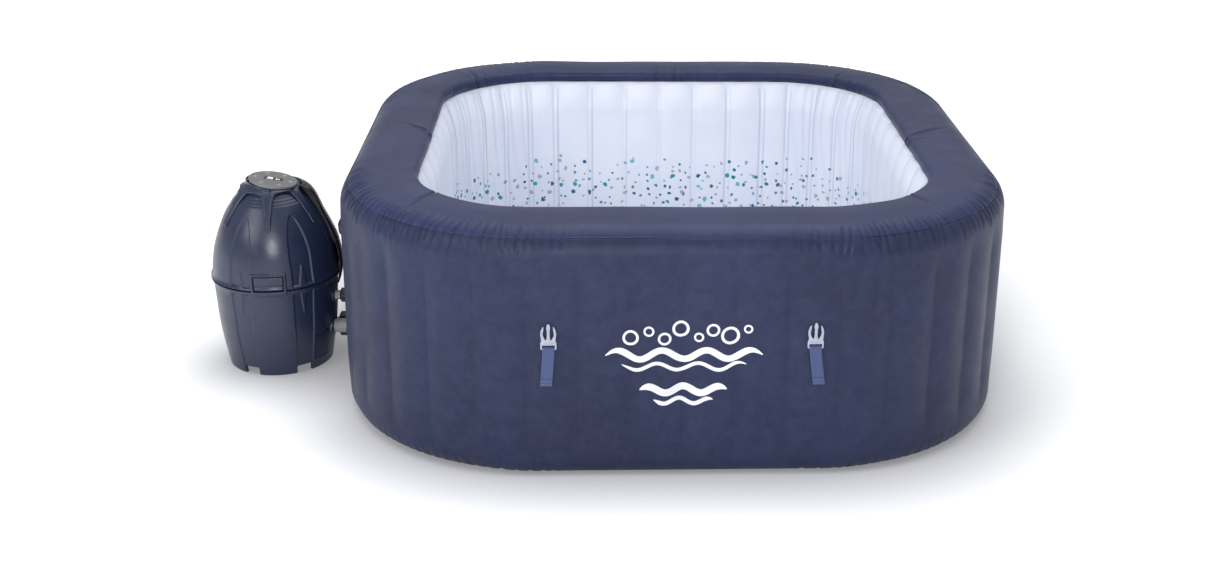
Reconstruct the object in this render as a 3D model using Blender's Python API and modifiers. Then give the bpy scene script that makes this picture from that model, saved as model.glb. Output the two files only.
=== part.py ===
"""Square inflatable hot tub with its external pump and heater unit.

Frame: metres, +Z up, origin on the floor under the middle of the tub.
The pump unit stands beside the tub's -X wall and is joined to it by three short pipes.
"""

import math

import bmesh
import bpy
from mathutils import Matrix, Vector

# Tub: an inflated wall of rounded-square plan. "Half" is half the width across the flats.
TUB_HALF = 0.900
TUB_HEIGHT = 0.660
CORNER_CENTRE = 0.366
CORNER_STEPS = 8
SHOULDER_R = 0.076
FOOT_R = 0.050
SEAM_ANGLE = 45.0
LINER_HALF = 0.670
LINER_TOP_HALF = 0.7015
LINER_TOP_Z = 0.6215
LINER_BEND_Z = 0.545
RIM_BULGE_R = 0.020
RIM_BULGE_HALF = 0.712
SKIN = 0.002
GAP = 0.0004
SEAM_GAP = 0.0012
FLOOR_BOTTOM = 0.0065
FLOOR_TOP = 0.0165
DUCT_HALF = 0.664
DUCT_WIDTH = 0.062
DUCT_HEIGHT = 0.020

# Vertical webs that tie the outer wall to the liner
WEB_PITCH_OUTER = 0.130
WEB_PITCH_INNER = 0.116
WEBS_EACH_SIDE = 3
WEBS_EACH_CORNER = 5
WEB_THICKNESS = 0.0015
WEB_TAPE = 0.002
WEB_TIP_GAP = 0.0036
WEB_BOTTOM = 0.062
WEB_TOP = 0.540

# Cover straps and buckles, two on each wall
STRAP_OFFSET = 0.330
STRAP_WIDTH = 0.030
STRAP_THICKNESS = 0.0012
STRAP_BOTTOM = 0.258
STRAP_ANCHOR = 0.266
BAR_Z = 0.3585
BAR_OUT = 0.0068
BAR_HALF = 0.0020
LOOP_R = 0.0042
BUCKLE_TOP = 0.425
BUCKLE_WIDTH = 0.044
BUCKLE_DEPTH = 0.006

# Fittings through the wall, on the pump's side: (y, z, outer radius, bore radius)
INLET = (-0.165, 0.108, 0.0200, 0.0165)
OUTLET = (-0.075, 0.077, 0.0200, 0.0165)
AIR = (-0.165, 0.205, 0.0140, 0.0110)
NECK = 0.030
FLANGE_R = 0.034
FLANGE_T = 0.004
AIR_FLANGE_R = 0.024
POOL_NOSE = 0.012
VALVE_Y = -0.345
VALVE_Z = 0.480
DRAIN_X = -0.195
DRAIN_Z = 0.085

# Pump unit
PUMP_X = -1.1445
PUMP_Y = -0.130
PUMP_TURN = 6.0
PUMP_STEPS = 32
WALL = 0.003
SEAM_Z = 0.272
DOME_OUTLINE = ((0.0815, 0.5250), (0.0930, 0.5110), (0.1050, 0.4960), (0.1200, 0.4740), (0.1405, 0.4380),
                (0.1560, 0.4030), (0.1680, 0.3640), (0.1755, 0.3200), (0.1785, 0.2900), (0.1835, 0.2745))
BASE_OUTLINE = ((0.1835, 0.2695), (0.1765, 0.2480), (0.1735, 0.2000), (0.1700, 0.1400),
                (0.1610, 0.0700), (0.1490, 0.0000))
BASE_PLATE_Z = 0.022
NOTCH_HEIGHT = 0.018
NOTCH_HALF_ANGLE = 9.5
LEG_COUNT = 6
LEG_ANGLES = ((0.529, 14.0), (0.520, 10.5), (0.506, 8.0), (0.480, 5.6), (0.444, 3.1), (0.424, 2.4))
LEG_CUT_RADII = (0.078, 0.200)
CROWN_FOOT = (0.1410, 0.4370)
CROWN_T = 0.004
NECK_OUTLINE = ((0.0665, 0.5620), (0.0700, 0.5380), (0.0825, 0.5310))
NECK_INSIDE = ((0.0840, 0.5260), (0.0640, 0.5280), (0.0620, 0.5300), (0.0620, 0.5620))
PANEL_R = 0.069
PANEL_T = 0.008
PANEL_AT = (-1.134, PUMP_Y, 0.548)
PANEL_TILT = 6.0
WINDOW_SIZE = (0.052, 0.022, 0.0022)
WINDOW_SHIFT = 0.004
BOARD_SIZE = (0.070, 0.060, 0.0016)
BOARD_DEPTH = 0.006
BUTTON_R = 0.0050
BUTTON_RING = 0.050
BUTTON_COUNT = 6
BUTTON_PROUD = 0.0010
BUTTON_LENGTH = 0.006
SPINE_FROM, SPINE_TO = -3.0, 63.0
SPINE_OUTLINE = ((0.0900, 0.5330), (0.1062, 0.5255), (0.1190, 0.5140), (0.1300, 0.4960), (0.1385, 0.4750),
                 (0.1490, 0.4480), (0.1671, 0.4080), (0.1820, 0.3700), (0.1905, 0.3300), (0.1935, 0.2900),
                 (0.1880, 0.2560), (0.1800, 0.2320))
SPINE_FOOT_INSIDE = ((0.1842, 0.2680), (0.1774, 0.2470), (0.1768, 0.2320))
SPINE_STEPS = 8
HANDLE_GAP = ((0.150, 0.3600), (0.1760, 0.3600), (0.1810, 0.3400), (0.1865, 0.3060), (0.1825, 0.2960), (0.150, 0.2960))
LATCH_OUTLINE = ((0.1770, 0.3160), (0.1810, 0.3160), (0.1860, 0.2760), (0.1838, 0.2760), (0.1792, 0.2895))
LATCH_HALF_ANGLE = 13.0
GRILLE_OUTLINE = ((0.1700, 0.1150), (0.1712, 0.1150), (0.1645, 0.0700), (0.1580, 0.0350), (0.1566, 0.0350),
                  (0.1632, 0.0700))
GRILLE_FROM, GRILLE_TO = -43.0, -22.0
GLAND_ANGLE = 100.0
GLAND_R = 0.1640
GLAND_Z = 0.070

# Inside the pump unit
WATER_PUMP_SHIFT = -0.045
WATER_PUMP_TOP = 0.131
IMPELLER_Z = 0.093
BLOWER_SHIFT = (-0.080, 0.012)
FAN_Z = 0.045
HEATER_R = 0.024
HEATER_LENGTH = 0.100
HEATER_SHIFT = 0.035

# Union nuts: (x, bore radius, outer radius, length)
INLET_NUT = (-0.930, 0.0212, 0.0330, 0.024)
OUTLET_NUT = (-0.966, 0.0212, 0.0365, 0.024)
AIR_NUT = (-0.948, 0.0150, 0.0210, 0.018)
NUT_EDGE = 0.003

NAVY = (0.040, 0.048, 0.095)
PUMP_NAVY = (0.045, 0.054, 0.105)
RIM_NAVY = (0.065, 0.078, 0.140)
LINER = (0.660, 0.690, 0.860)
BLACK = (0.012, 0.012, 0.014)
GREY = (0.190, 0.190, 0.200)
PALE = (0.600, 0.620, 0.700)
WEBBING = (0.120, 0.145, 0.300)
CLEAR_GREY = (0.520, 0.520, 0.530)
STEEL = (0.560, 0.560, 0.580)
WHITE = (0.800, 0.800, 0.800)
GREEN = (0.030, 0.160, 0.060)

for old in list(bpy.data.objects):
    bpy.data.objects.remove(old, do_unlink=True)

parts = bpy.data.collections.new("inflatable_hot_tub")
cutters = bpy.data.collections.new("cutters")
bpy.context.scene.collection.children.link(parts)
bpy.context.scene.collection.children.link(cutters)


def material(name, colour, roughness, metallic=0.0):
    made = bpy.data.materials.get(name)
    if made is None:
        made = bpy.data.materials.new(name)
        made.use_nodes = True
        shader = made.node_tree.nodes["Principled BSDF"]
        shader.inputs["Base Color"].default_value = (*colour, 1.0)
        shader.inputs["Roughness"].default_value = roughness
        shader.inputs["Metallic"].default_value = metallic
    return made


def add(name, data, look, location=(0, 0, 0), rotation=(0, 0, 0)):
    made = bpy.data.objects.new(name, data)
    made.location = location
    made.rotation_euler = rotation
    data.materials.append(look)
    parts.objects.link(made)
    return made


def mesh_from(verts, faces, name):
    mesh = bpy.data.meshes.new(name)
    mesh.from_pydata(verts, [], faces)
    mesh.validate()
    return mesh


def as_cutter(obj):
    parts.objects.unlink(obj)
    cutters.objects.link(obj)
    obj.hide_render = True
    obj.display_type = "WIRE"
    return obj


def boolean(obj, cutter, operation="DIFFERENCE"):
    cut = obj.modifiers.new(cutter.name, "BOOLEAN")
    cut.object = cutter
    cut.operation = operation
    cut.solver = "EXACT"


def turned(name, profile, look, location=(0, 0, 0), rotation=(0, 0, 0), steps=PUMP_STEPS):
    """A body of revolution about local Z. The profile is a loop that runs down its outer side.

    An edge between two points on the axis would turn into nothing, so it is left out.
    """
    mesh = bpy.data.meshes.new(name)
    count = len(profile)
    pairs = [(i, (i + 1) % count) for i in range(count)]
    edges = [(i, j) for i, j in pairs if profile[i][0] > 0 or profile[j][0] > 0]
    mesh.from_pydata([(r, 0, z) for r, z in profile], edges, [])
    made = add(name, mesh, look, location, rotation)
    screw = made.modifiers.new("turn", "SCREW")
    screw.steps = steps
    screw.render_steps = steps
    screw.use_merge_vertices = True
    screw.merge_threshold = 0.00001
    return made


def extruded(name, outlines, thickness, look, location=(0, 0, 0), rotation=(0, 0, 0)):
    """A flat outline, with holes if more than one loop is given, made into a mesh with welded caps."""
    curve = bpy.data.curves.new(name, "CURVE")
    curve.dimensions = "2D"
    curve.fill_mode = "BOTH"
    curve.extrude = thickness / 2
    for outline in outlines:
        spline = curve.splines.new("POLY")
        spline.points.add(len(outline) - 1)
        for point, (x, y) in zip(spline.points, outline):
            point.co = (x, y, 0, 1)
        spline.use_cyclic_u = True
    return curve_as_mesh(name, curve, look, location, rotation)


def curve_as_mesh(name, curve, look, location=(0, 0, 0), rotation=(0, 0, 0)):
    holder = bpy.data.objects.new(name + "_curve", curve)
    bpy.context.scene.collection.objects.link(holder)
    evaluated = holder.evaluated_get(bpy.context.evaluated_depsgraph_get())
    mesh = bpy.data.meshes.new_from_object(evaluated)
    bpy.data.objects.remove(holder)
    work = bmesh.new()
    work.from_mesh(mesh)
    bmesh.ops.remove_doubles(work, verts=work.verts, dist=0.00001)
    bmesh.ops.recalc_face_normals(work, faces=work.faces)
    work.to_mesh(mesh)
    work.free()
    return add(name, mesh, look, location, rotation)


def tube(name, points, radius, look, sides=3):
    """A solid round bar along a smooth curve through the points."""
    curve = bpy.data.curves.new(name, "CURVE")
    curve.dimensions = "3D"
    curve.bevel_depth = radius
    curve.bevel_resolution = sides
    curve.render_resolution_u = 0
    curve.use_fill_caps = True
    spline = curve.splines.new("POLY")
    spline.points.add(len(points) - 1)
    for point, place in zip(spline.points, points):
        point.co = (*place, 1)
    return curve_as_mesh(name, curve, look)


def cylinder(name, radius, depth, look, location=(0, 0, 0), rotation=(0, 0, 0), segments=24):
    mesh = bpy.data.meshes.new(name)
    work = bmesh.new()
    bmesh.ops.create_cone(work, cap_ends=True, segments=segments, radius1=radius, radius2=radius, depth=depth)
    work.to_mesh(mesh)
    work.free()
    return add(name, mesh, look, location, rotation)


def box(name, size, look, location=(0, 0, 0), rotation=(0, 0, 0)):
    mesh = bpy.data.meshes.new(name)
    work = bmesh.new()
    bmesh.ops.create_cube(work, size=1.0)
    bmesh.ops.scale(work, vec=size, verts=work.verts)
    work.to_mesh(mesh)
    work.free()
    return add(name, mesh, look, location, rotation)


def plan(half):
    """The tub's rounded-square outline at one half-width. All outlines share their corner centres."""
    points = []
    for corner in range(4):
        for step in range(CORNER_STEPS + 1):
            angle = math.radians(90 * corner + 90 * step / CORNER_STEPS)
            sx = 1 if corner in (0, 3) else -1
            sy = 1 if corner in (0, 1) else -1
            radius = half - CORNER_CENTRE
            points.append((sx * CORNER_CENTRE + radius * math.cos(angle),
                           sy * CORNER_CENTRE + radius * math.sin(angle)))
    return points


def ring_surface(name, profile, look, fill_first=False, fill_last=False):
    """A surface through plan outlines at each (half, z) of the profile."""
    count = len(plan(TUB_HALF))
    verts = []
    faces = []
    for half, z in profile:
        verts += [(x, y, z) for x, y in plan(half)]
    for row in range(len(profile) - 1):
        for i in range(count):
            j = (i + 1) % count
            a, b = row * count, (row + 1) * count
            faces.append((a + i, b + i, b + j, a + j))
    if fill_first:
        faces.append(tuple(range(count)))
    if fill_last:
        start = (len(profile) - 1) * count
        faces.append(tuple(range(start + count - 1, start - 1, -1)))
    return add(name, mesh_from(verts, faces, name), look)


def skin(name, profile, look, fill_last=False):
    """A laminated sheet: the profile is its outer face and the thickness grows inward."""
    made = ring_surface(name, profile, look, fill_last=fill_last)
    thick = made.modifiers.new("thickness", "SOLIDIFY")
    thick.thickness = SKIN
    thick.offset = -1.0
    thick.use_even_offset = True
    return made


def arc(centre, radius, start, end, steps):
    """Points (half, z) along a circular arc, angles in degrees from the +half direction."""
    points = []
    for i in range(steps + 1):
        angle = math.radians(start + (end - start) * i / steps)
        points.append((centre[0] + radius * math.cos(angle), centre[1] + radius * math.sin(angle)))
    return points


def smooth(points, per_span):
    """A smooth curve through the points, each span cut into equal steps of its parameter."""
    padded = [points[0], *points, points[-1]]
    result = []
    for i in range(1, len(padded) - 2):
        before, start, end, after = (Vector(p) for p in padded[i - 1:i + 3])
        for step in range(per_span):
            t = step / per_span
            result.append(0.5 * (2 * start + (end - before) * t
                                 + (2 * before - 5 * start + 4 * end - after) * t * t
                                 + (3 * start - before - 3 * end + after) * t * t * t))
    result.append(Vector(points[-1]))
    return [tuple(p) for p in result]


def offset(profile, distance):
    """The profile moved along its own outward normal, for a profile that runs down its outer side."""
    moved = []
    last = len(profile) - 1
    for i, (r, z) in enumerate(profile):
        ahead, behind = profile[min(i + 1, last)], profile[max(i - 1, 0)]
        along = Vector((ahead[0] - behind[0], ahead[1] - behind[1])).normalized()
        moved.append((r - along.y * distance, z + along.x * distance))
    return moved


def sector(name, profile, start, end, steps, look, centre):
    """A closed (r, z) profile swept through part of a turn about the vertical line at centre."""
    count = len(profile)
    verts = []
    faces = []
    for step in range(steps + 1):
        angle = math.radians(start + (end - start) * step / steps)
        verts += [(r * math.cos(angle), r * math.sin(angle), z) for r, z in profile]
    for step in range(steps):
        for i in range(count):
            j = (i + 1) % count
            a, b = step * count, (step + 1) * count
            faces.append((a + i, a + j, b + j, b + i))
    faces.append(tuple(range(count)))
    faces.append(tuple(range(steps * count + count - 1, steps * count - 1, -1)))
    made = add(name, mesh_from(verts, faces, name), look, centre)
    work = bmesh.new()
    work.from_mesh(made.data)
    bmesh.ops.recalc_face_normals(work, faces=work.faces)
    work.to_mesh(made.data)
    work.free()
    return made


# ---------------------------------------------------------------- tub

def port_cutters():
    """Cylinders along X through the outer wall, the webs and the liner, one for each fitting."""
    made = {}
    for name, (y, z, radius, _) in (("inlet", INLET), ("outlet", OUTLET), ("air", AIR)):
        made[name] = as_cutter(cylinder("cut_" + name, radius + 2 * GAP, 0.34, plain, (-0.79, y, z),
                                        (0, math.radians(90), 0), 20))
    made["valve"] = as_cutter(cylinder("cut_valve", 0.0204, 0.06, plain, (-TUB_HALF, VALVE_Y, VALVE_Z),
                                       (0, math.radians(90), 0), 20))
    made["drain"] = as_cutter(cylinder("cut_drain", 0.0128, 0.34, plain, (DRAIN_X, 0.79, DRAIN_Z),
                                       (math.radians(90), 0, 0), 20))
    return made


def tub_shells(cuts):
    shoulder = (TUB_HALF - SHOULDER_R, TUB_HEIGHT - SHOULDER_R)
    foot = (TUB_HALF - FOOT_R, FOOT_R)
    navy = material("wall_sheet", NAVY, 0.42)
    wall = skin("outer_wall", arc(shoulder, SHOULDER_R, SEAM_ANGLE, 0, 3) + arc(foot, FOOT_R, 0, -SEAM_ANGLE, 3), navy)
    for cut in cuts.values():
        boolean(wall, cut)
    bulge = (RIM_BULGE_HALF, TUB_HEIGHT - RIM_BULGE_R)
    weld = math.degrees(SEAM_GAP / SHOULDER_R)
    rim = arc(bulge, RIM_BULGE_R, 235, 90, 5) + arc(shoulder, SHOULDER_R, 90, SEAM_ANGLE + weld, 2)
    skin("rim_sheet", rim, material("rim_sheet", RIM_NAVY, 0.40))
    liner = skin("liner_wall", [(LINER_HALF, FLOOR_TOP + GAP), (LINER_HALF, LINER_BEND_Z), (LINER_TOP_HALF, LINER_TOP_Z)],
                 material("liner_sheet", LINER, 0.35))
    for name in ("inlet", "outlet", "air", "drain"):
        boolean(liner, cuts[name])
    weld = math.degrees(SEAM_GAP / FOOT_R)
    skin("base_sheet", arc(foot, FOOT_R, -SEAM_ANGLE - weld, -90, 2), navy, fill_last=True)


def pool_floor():
    profile = [(LINER_HALF - GAP, FLOOR_TOP), (LINER_HALF - GAP, FLOOR_BOTTOM)]
    ring_surface("pool_floor", profile, material("liner_sheet", LINER, 0.35), fill_first=True, fill_last=True)


def bubble_duct():
    """A raised air channel around the foot of the liner, with a riser up to the air fitting."""
    inner = DUCT_HALF - DUCT_WIDTH
    top = FLOOR_TOP + GAP + DUCT_HEIGHT
    edge = 0.008
    profile = [(inner, FLOOR_TOP + GAP), (inner, top - edge), (inner + edge, top), (DUCT_HALF - edge, top),
               (DUCT_HALF, top - edge), (DUCT_HALF, FLOOR_TOP + GAP)]
    made = ring_surface("air_bubble_duct", profile + profile[:1], material("duct_sheet", LINER, 0.35))
    weld_seams(made)
    bottom = top - 0.5 * edge
    high = AIR[1] + 0.022
    outline = [(-0.140, AIR[1] - 0.022), (-0.140, high), (-0.290, high), (-0.290, bottom), (-0.245, bottom),
               (-0.245, AIR[1] - 0.022)]
    riser = extruded("duct_riser", [outline], 0.014, plain, (-DUCT_HALF + 0.008, 0, 0),
                     (math.radians(90), 0, math.radians(90)))
    boolean(made, as_cutter(riser), "UNION")


def weld_seams(obj):
    work = bmesh.new()
    work.from_mesh(obj.data)
    bmesh.ops.remove_doubles(work, verts=work.verts, dist=0.00001)
    bmesh.ops.recalc_face_normals(work, faces=work.faces)
    work.to_mesh(obj.data)
    work.free()


def along(half, distance):
    """The point on a plan outline at a distance from the middle of the +X wall, and its outward normal."""
    radius = half - CORNER_CENTRE
    quarter = 2 * CORNER_CENTRE + radius * math.pi / 2
    turn, rest = divmod(distance + CORNER_CENTRE, quarter)
    if rest <= 2 * CORNER_CENTRE:
        point, normal = Vector((half, rest - CORNER_CENTRE)), Vector((1.0, 0.0))
    else:
        angle = (rest - 2 * CORNER_CENTRE) / radius
        normal = Vector((math.cos(angle), math.sin(angle)))
        point = Vector((CORNER_CENTRE, CORNER_CENTRE)) + radius * normal
    spin = Matrix.Rotation(turn * math.pi / 2, 2)
    return spin @ point, spin @ normal


def web_distances(half, pitch):
    """Where the webs meet an outline: an even pitch along each straight wall, spread evenly round each corner."""
    quarter = 2 * CORNER_CENTRE + (half - CORNER_CENTRE) * math.pi / 2
    reach = WEBS_EACH_SIDE * pitch
    corner = (quarter - 2 * reach) / (WEBS_EACH_CORNER + 1)
    places = []
    for side in range(4):
        places += [side * quarter + k * pitch for k in range(-WEBS_EACH_SIDE, WEBS_EACH_SIDE + 1)]
        places += [side * quarter + reach + (k + 1) * corner for k in range(WEBS_EACH_CORNER)]
    return places


def web_frame(cuts):
    """The webs and the weld tape that joins them behind the liner, as one extruded outline."""
    tape_inner = LINER_HALF + SKIN + GAP
    tape_outer = tape_inner + WEB_TAPE
    tip = TUB_HALF - SKIN - WEB_TIP_GAP
    outline = []
    near_places = web_distances(tape_outer, WEB_PITCH_INNER)
    far_places = web_distances(tip, WEB_PITCH_OUTER)
    length = 4 * (2 * CORNER_CENTRE + (tape_outer - CORNER_CENTRE) * math.pi / 2)
    for i, (near, far) in enumerate(zip(near_places, far_places)):
        foot_point, _ = along(tape_outer, near)
        tip_point, _ = along(tip, far)
        direction = (tip_point - foot_point).normalized()
        side = Vector((-direction.y, direction.x)) * WEB_THICKNESS / 2
        outline += [foot_point - side, tip_point - side, tip_point + side, foot_point + side]
        following = near_places[i + 1] if i + 1 < len(near_places) else near_places[0] + length
        between, _ = along(tape_outer, (near + following) / 2)
        outline.append(between)
    height = WEB_TOP - WEB_BOTTOM
    made = extruded("web_frame", [outline, plan(tape_inner)], height, material("web_sheet", WHITE, 0.5),
                    (0, 0, (WEB_TOP + WEB_BOTTOM) / 2))
    for name in ("inlet", "outlet", "air", "drain"):
        boolean(made, cuts[name])


def wall_fitting(name, place, look):
    """A sleeve across the inflated wall: a neck for the pipe outside, and a flange on each skin."""
    y, z, radius, bore = place
    outer, inner = -TUB_HALF, -LINER_HALF
    if name == "air_fitting":
        # ends behind the liner, where the duct takes the air on
        large = AIR_FLANGE_R
        profile = [(bore, outer - NECK), (bore, inner - SKIN), (radius, inner - SKIN)]
    else:
        large = FLANGE_R
        profile = [(bore, outer - NECK), (bore, inner + POOL_NOSE), (radius, inner + POOL_NOSE),
                   (large, inner + FLANGE_T + GAP), (large, inner + GAP), (radius, inner + GAP)]
    profile += [(radius, outer - GAP), (large, outer - GAP), (large, outer - GAP - FLANGE_T),
                (radius, outer - GAP - FLANGE_T), (radius, outer - NECK)]
    made = turned(name, profile, look, (0, y, z), steps=20)
    made.rotation_euler = (0, math.radians(90), 0)
    return made


def strap_line():
    """The webbing's middle, side-on as (out, z): welded to the wall below and looped over the buckle's bar."""
    half = STRAP_THICKNESS / 2
    mid = LOOP_R + half
    line = [(half + GAP, STRAP_ANCHOR), (half + 2 * GAP, STRAP_ANCHOR + 0.02)]
    line += [(BAR_OUT - mid, BAR_Z - 0.004)]
    line += [(BAR_OUT + mid * math.cos(math.radians(a)), BAR_Z + mid * math.sin(math.radians(a)))
             for a in (180, 135, 90, 45, 0)]
    line += [(BAR_OUT + mid, BAR_Z - 0.004), (BAR_OUT + half, BAR_Z - 0.035), (BAR_OUT - 0.001, STRAP_BOTTOM)]
    return line


def strap_outline():
    line = strap_line()
    left, right = [], []
    last = len(line) - 1
    for i, (out, z) in enumerate(line):
        ahead, behind = line[min(i + 1, last)], line[max(i - 1, 0)]
        step = Vector((ahead[0] - behind[0], ahead[1] - behind[1])).normalized() * STRAP_THICKNESS / 2
        left.append((out - step.y, z + step.x))
        right.append((out + step.y, z - step.x))
    return left + right[::-1]


def buckle_outline():
    """The male half of a side-release buckle, seen from outside: (across, up) from the bar's middle."""
    w = BUCKLE_WIDTH / 2
    top = BUCKLE_TOP - BAR_Z
    right = [(w - 0.003, -BAR_HALF), (w, 0.001), (w, 0.016), (w - 0.003, 0.020), (w - 0.002, 0.034),
             (w - 0.001, 0.044), (w - 0.004, top - 0.010), (w - 0.009, top - 0.007), (w - 0.0085, 0.040),
             (w - 0.011, 0.026), (0.006, 0.023), (0.0035, 0.028), (0.0035, top - 0.003), (0.002, top)]
    left = [(-x, z) for x, z in reversed(right)]
    slot_w = STRAP_WIDTH / 2 + 0.0009
    slot = [(-slot_w, BAR_HALF), (slot_w, BAR_HALF), (slot_w, 0.0098), (-slot_w, 0.0098)]
    return [right + left, slot]


def straps_and_buckles():
    strap_look = material("webbing", WEBBING, 0.8)
    buckle_look = material("buckle_plastic", PALE, 0.35)
    number = 0
    for side in range(4):
        turn = math.radians(90 * side)
        for shift in (-STRAP_OFFSET, STRAP_OFFSET):
            number += 1
            spin = Matrix.Rotation(turn, 4, "Z")
            # local frame on the -Y wall: x across, y inward, z up
            wall = spin @ Vector((shift, -TUB_HALF, 0))
            strap = extruded(f"strap_{number}", [strap_outline()], STRAP_WIDTH, strap_look, wall)
            strap.matrix_world = (Matrix.Translation(wall) @ spin
                                  @ Matrix(((0, 0, 1, 0), (-1, 0, 0, 0), (0, 1, 0, 0), (0, 0, 0, 1))))
            bar = spin @ Vector((shift, -TUB_HALF - BAR_OUT, BAR_Z))
            buckle = extruded(f"buckle_{number}", buckle_outline(), BUCKLE_DEPTH, buckle_look, bar)
            buckle.matrix_world = Matrix.Translation(bar) @ spin @ Matrix.Rotation(math.radians(90), 4, "X")


def valves():
    grey = material("valve_plastic", BLACK, 0.4)
    side = (0, math.radians(-90), 0)
    wall = TUB_HALF + GAP
    body = [(0.013, wall + 0.006), (0.018, wall + 0.006), (0.018, wall + 0.003), (0.028, wall + 0.003),
            (0.028, wall), (0.020, wall), (0.020, wall - 0.024), (0.013, wall - 0.024)]
    turned("inflation_valve_body", body, grey, (0, VALVE_Y, VALVE_Z), side, 20)
    cap = [(0.0, 0.0180), (0.017, 0.0180), (0.022, 0.0140), (0.026, 0.0040), (0.0185, 0.0040), (0.0185, 0.0066),
           (0.0, 0.0066)]
    turned("inflation_valve_cap", cap, grey, (-wall, VALVE_Y, VALVE_Z), side, 20)
    back = (math.radians(-90), 0, 0)
    inner = LINER_HALF - GAP
    drain = [(0.009, wall + 0.010), (0.012, wall + 0.010), (0.012, wall + 0.003), (0.021, wall + 0.003),
             (0.021, wall), (0.012, wall), (0.012, inner), (0.019, inner), (0.019, inner - 0.003), (0.009, inner - 0.003)]
    turned("drain_valve_body", drain, grey, (DRAIN_X, 0, DRAIN_Z), back, 20)
    cap = [(0.0, 0.0160), (0.014, 0.0160), (0.0165, 0.0130), (0.0165, 0.0035), (0.0125, 0.0035),
           (0.0125, 0.0106), (0.0, 0.0106)]
    turned("drain_valve_cap", cap, grey, (DRAIN_X, wall, DRAIN_Z), back, 20)


def filter_unit():
    """A cup-shaped cage on the liner, open towards the inlet fitting, with an annular cartridge in it."""
    y, z = INLET[0], INLET[1]
    outward = (0, math.radians(90), 0)
    back = -LINER_HALF + FLANGE_T + 3 * GAP
    cage = [(0.0, 0.0960), (0.056, 0.0960), (0.059, 0.0930), (0.059, 0.0), (0.0560, 0.0), (0.0560, 0.0930), (0.0, 0.0930)]
    turned("filter_cage", cage, material("pool_plastic", PALE, 0.4), (back, y, z), outward, 24)
    cartridge = [(0.024, 0.0900), (0.053, 0.0900), (0.053, 0.0120), (0.024, 0.0120)]
    turned("filter_cartridge", cartridge, material("filter_paper", WHITE, 0.8), (back, y, z), outward, 24)


# ---------------------------------------------------------------- pump unit

def dome_curve():
    return smooth(DOME_OUTLINE, 1)


def base_curve():
    return smooth(BASE_OUTLINE, 1)


def pump_shells():
    look = material("pump_plastic", PUMP_NAVY, 0.33)
    centre = (PUMP_X, PUMP_Y, 0)
    turn = (0, 0, math.radians(PUMP_TURN))
    outer = dome_curve()
    turned("pump_dome", outer + offset(outer, -WALL)[::-1], look, centre, turn)
    outer = base_curve()
    inner = offset(outer, -WALL)
    plate_r = inner[-2][0] - 0.006
    low = [(inner[-1][0], 0.0), (plate_r, BASE_PLATE_Z), (0.0, BASE_PLATE_Z)]
    high = [(0.0, BASE_PLATE_Z + WALL), (plate_r + 0.0006, BASE_PLATE_Z + WALL)]
    profile = outer + low + high + inner[1:-1][::-1] + [(inner[0][0], outer[0][1])]
    base = turned("pump_base", profile, look, centre, turn)
    for place in (INLET, OUTLET, AIR):
        hole = cylinder(f"cut_base_{place[1]:.3f}", place[2] + 2 * GAP, 0.12, plain, (-0.98, place[0], place[1]),
                        (0, math.radians(90), 0), 20)
        boolean(base, as_cutter(hole))
    for k in range(LEG_COUNT):
        middle = 360 / LEG_COUNT * (k + 0.5) - 90 + PUMP_TURN
        wedge = sector(f"foot_notch_{k}", [(0.118, -0.01), (0.2, -0.01), (0.2, NOTCH_HEIGHT), (0.118, NOTCH_HEIGHT)],
                       middle - NOTCH_HALF_ANGLE, middle + NOTCH_HALF_ANGLE, 2, plain, centre)
        boolean(base, as_cutter(wedge))


def leg_window(name, start, end, centre):
    """What is cut away between two legs of the crown. The legs taper downwards."""
    verts = []
    faces = []
    for z, half in LEG_ANGLES:
        low, high = math.radians(start + half), math.radians(end - half)
        for radius in LEG_CUT_RADII:
            verts += [(radius * math.cos(a), radius * math.sin(a), z) for a in
                      (low, low + (high - low) / 3, low + (high - low) * 2 / 3, high)]
    rows = len(LEG_ANGLES)
    loop = (0, 1, 2, 3, 7, 6, 5, 4)
    for row in range(rows - 1):
        for i in range(8):
            a, b = loop[i], loop[(i + 1) % 8]
            faces.append((row * 8 + a, row * 8 + b, row * 8 + 8 + b, row * 8 + 8 + a))
    faces.append(loop)
    faces.append(tuple(8 * (rows - 1) + i for i in reversed(loop)))
    made = add(name, mesh_from(verts, faces, name), plain, centre)
    weld_seams(made)
    return as_cutter(made)


def pump_crown():
    """A cap over the top of the dome whose tapering legs run down it."""
    centre = (PUMP_X, PUMP_Y, 0)
    full = dome_curve()
    reach = [p for p in full if p[1] > CROWN_FOOT[1]] + [CROWN_FOOT]
    inner = offset(reach, 2 * GAP)[1:]
    outer = offset(reach, CROWN_T)[1:]
    profile = [*NECK_OUTLINE, *outer, *inner[::-1], *NECK_INSIDE]
    crown = turned("pump_crown", profile, material("pump_plastic", PUMP_NAVY, 0.33), centre,
                   (0, 0, math.radians(PUMP_TURN)))
    step = 360 / LEG_COUNT
    for k in range(LEG_COUNT - 2):
        start = -90 + PUMP_TURN + step * (k - 3)
        boolean(crown, leg_window(f"leg_window_{k}", start, start + step, centre))
    start = -90 + PUMP_TURN + step
    boolean(crown, leg_window("leg_window_rear", start, start + 2 * step, centre))
    tilt = Matrix.Translation(PANEL_AT) @ Matrix.Rotation(math.radians(PANEL_TILT), 4, "Y")
    above = as_cutter(box("crown_top_cut", (0.3, 0.3, 0.1), plain))
    above.matrix_world = tilt @ Matrix.Translation((0, 0, 0.05 - PANEL_T - GAP))
    boolean(crown, above)


def panel_matrix():
    return Matrix.Translation(PANEL_AT) @ Matrix.Rotation(math.radians(PANEL_TILT), 4, "Y")


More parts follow.
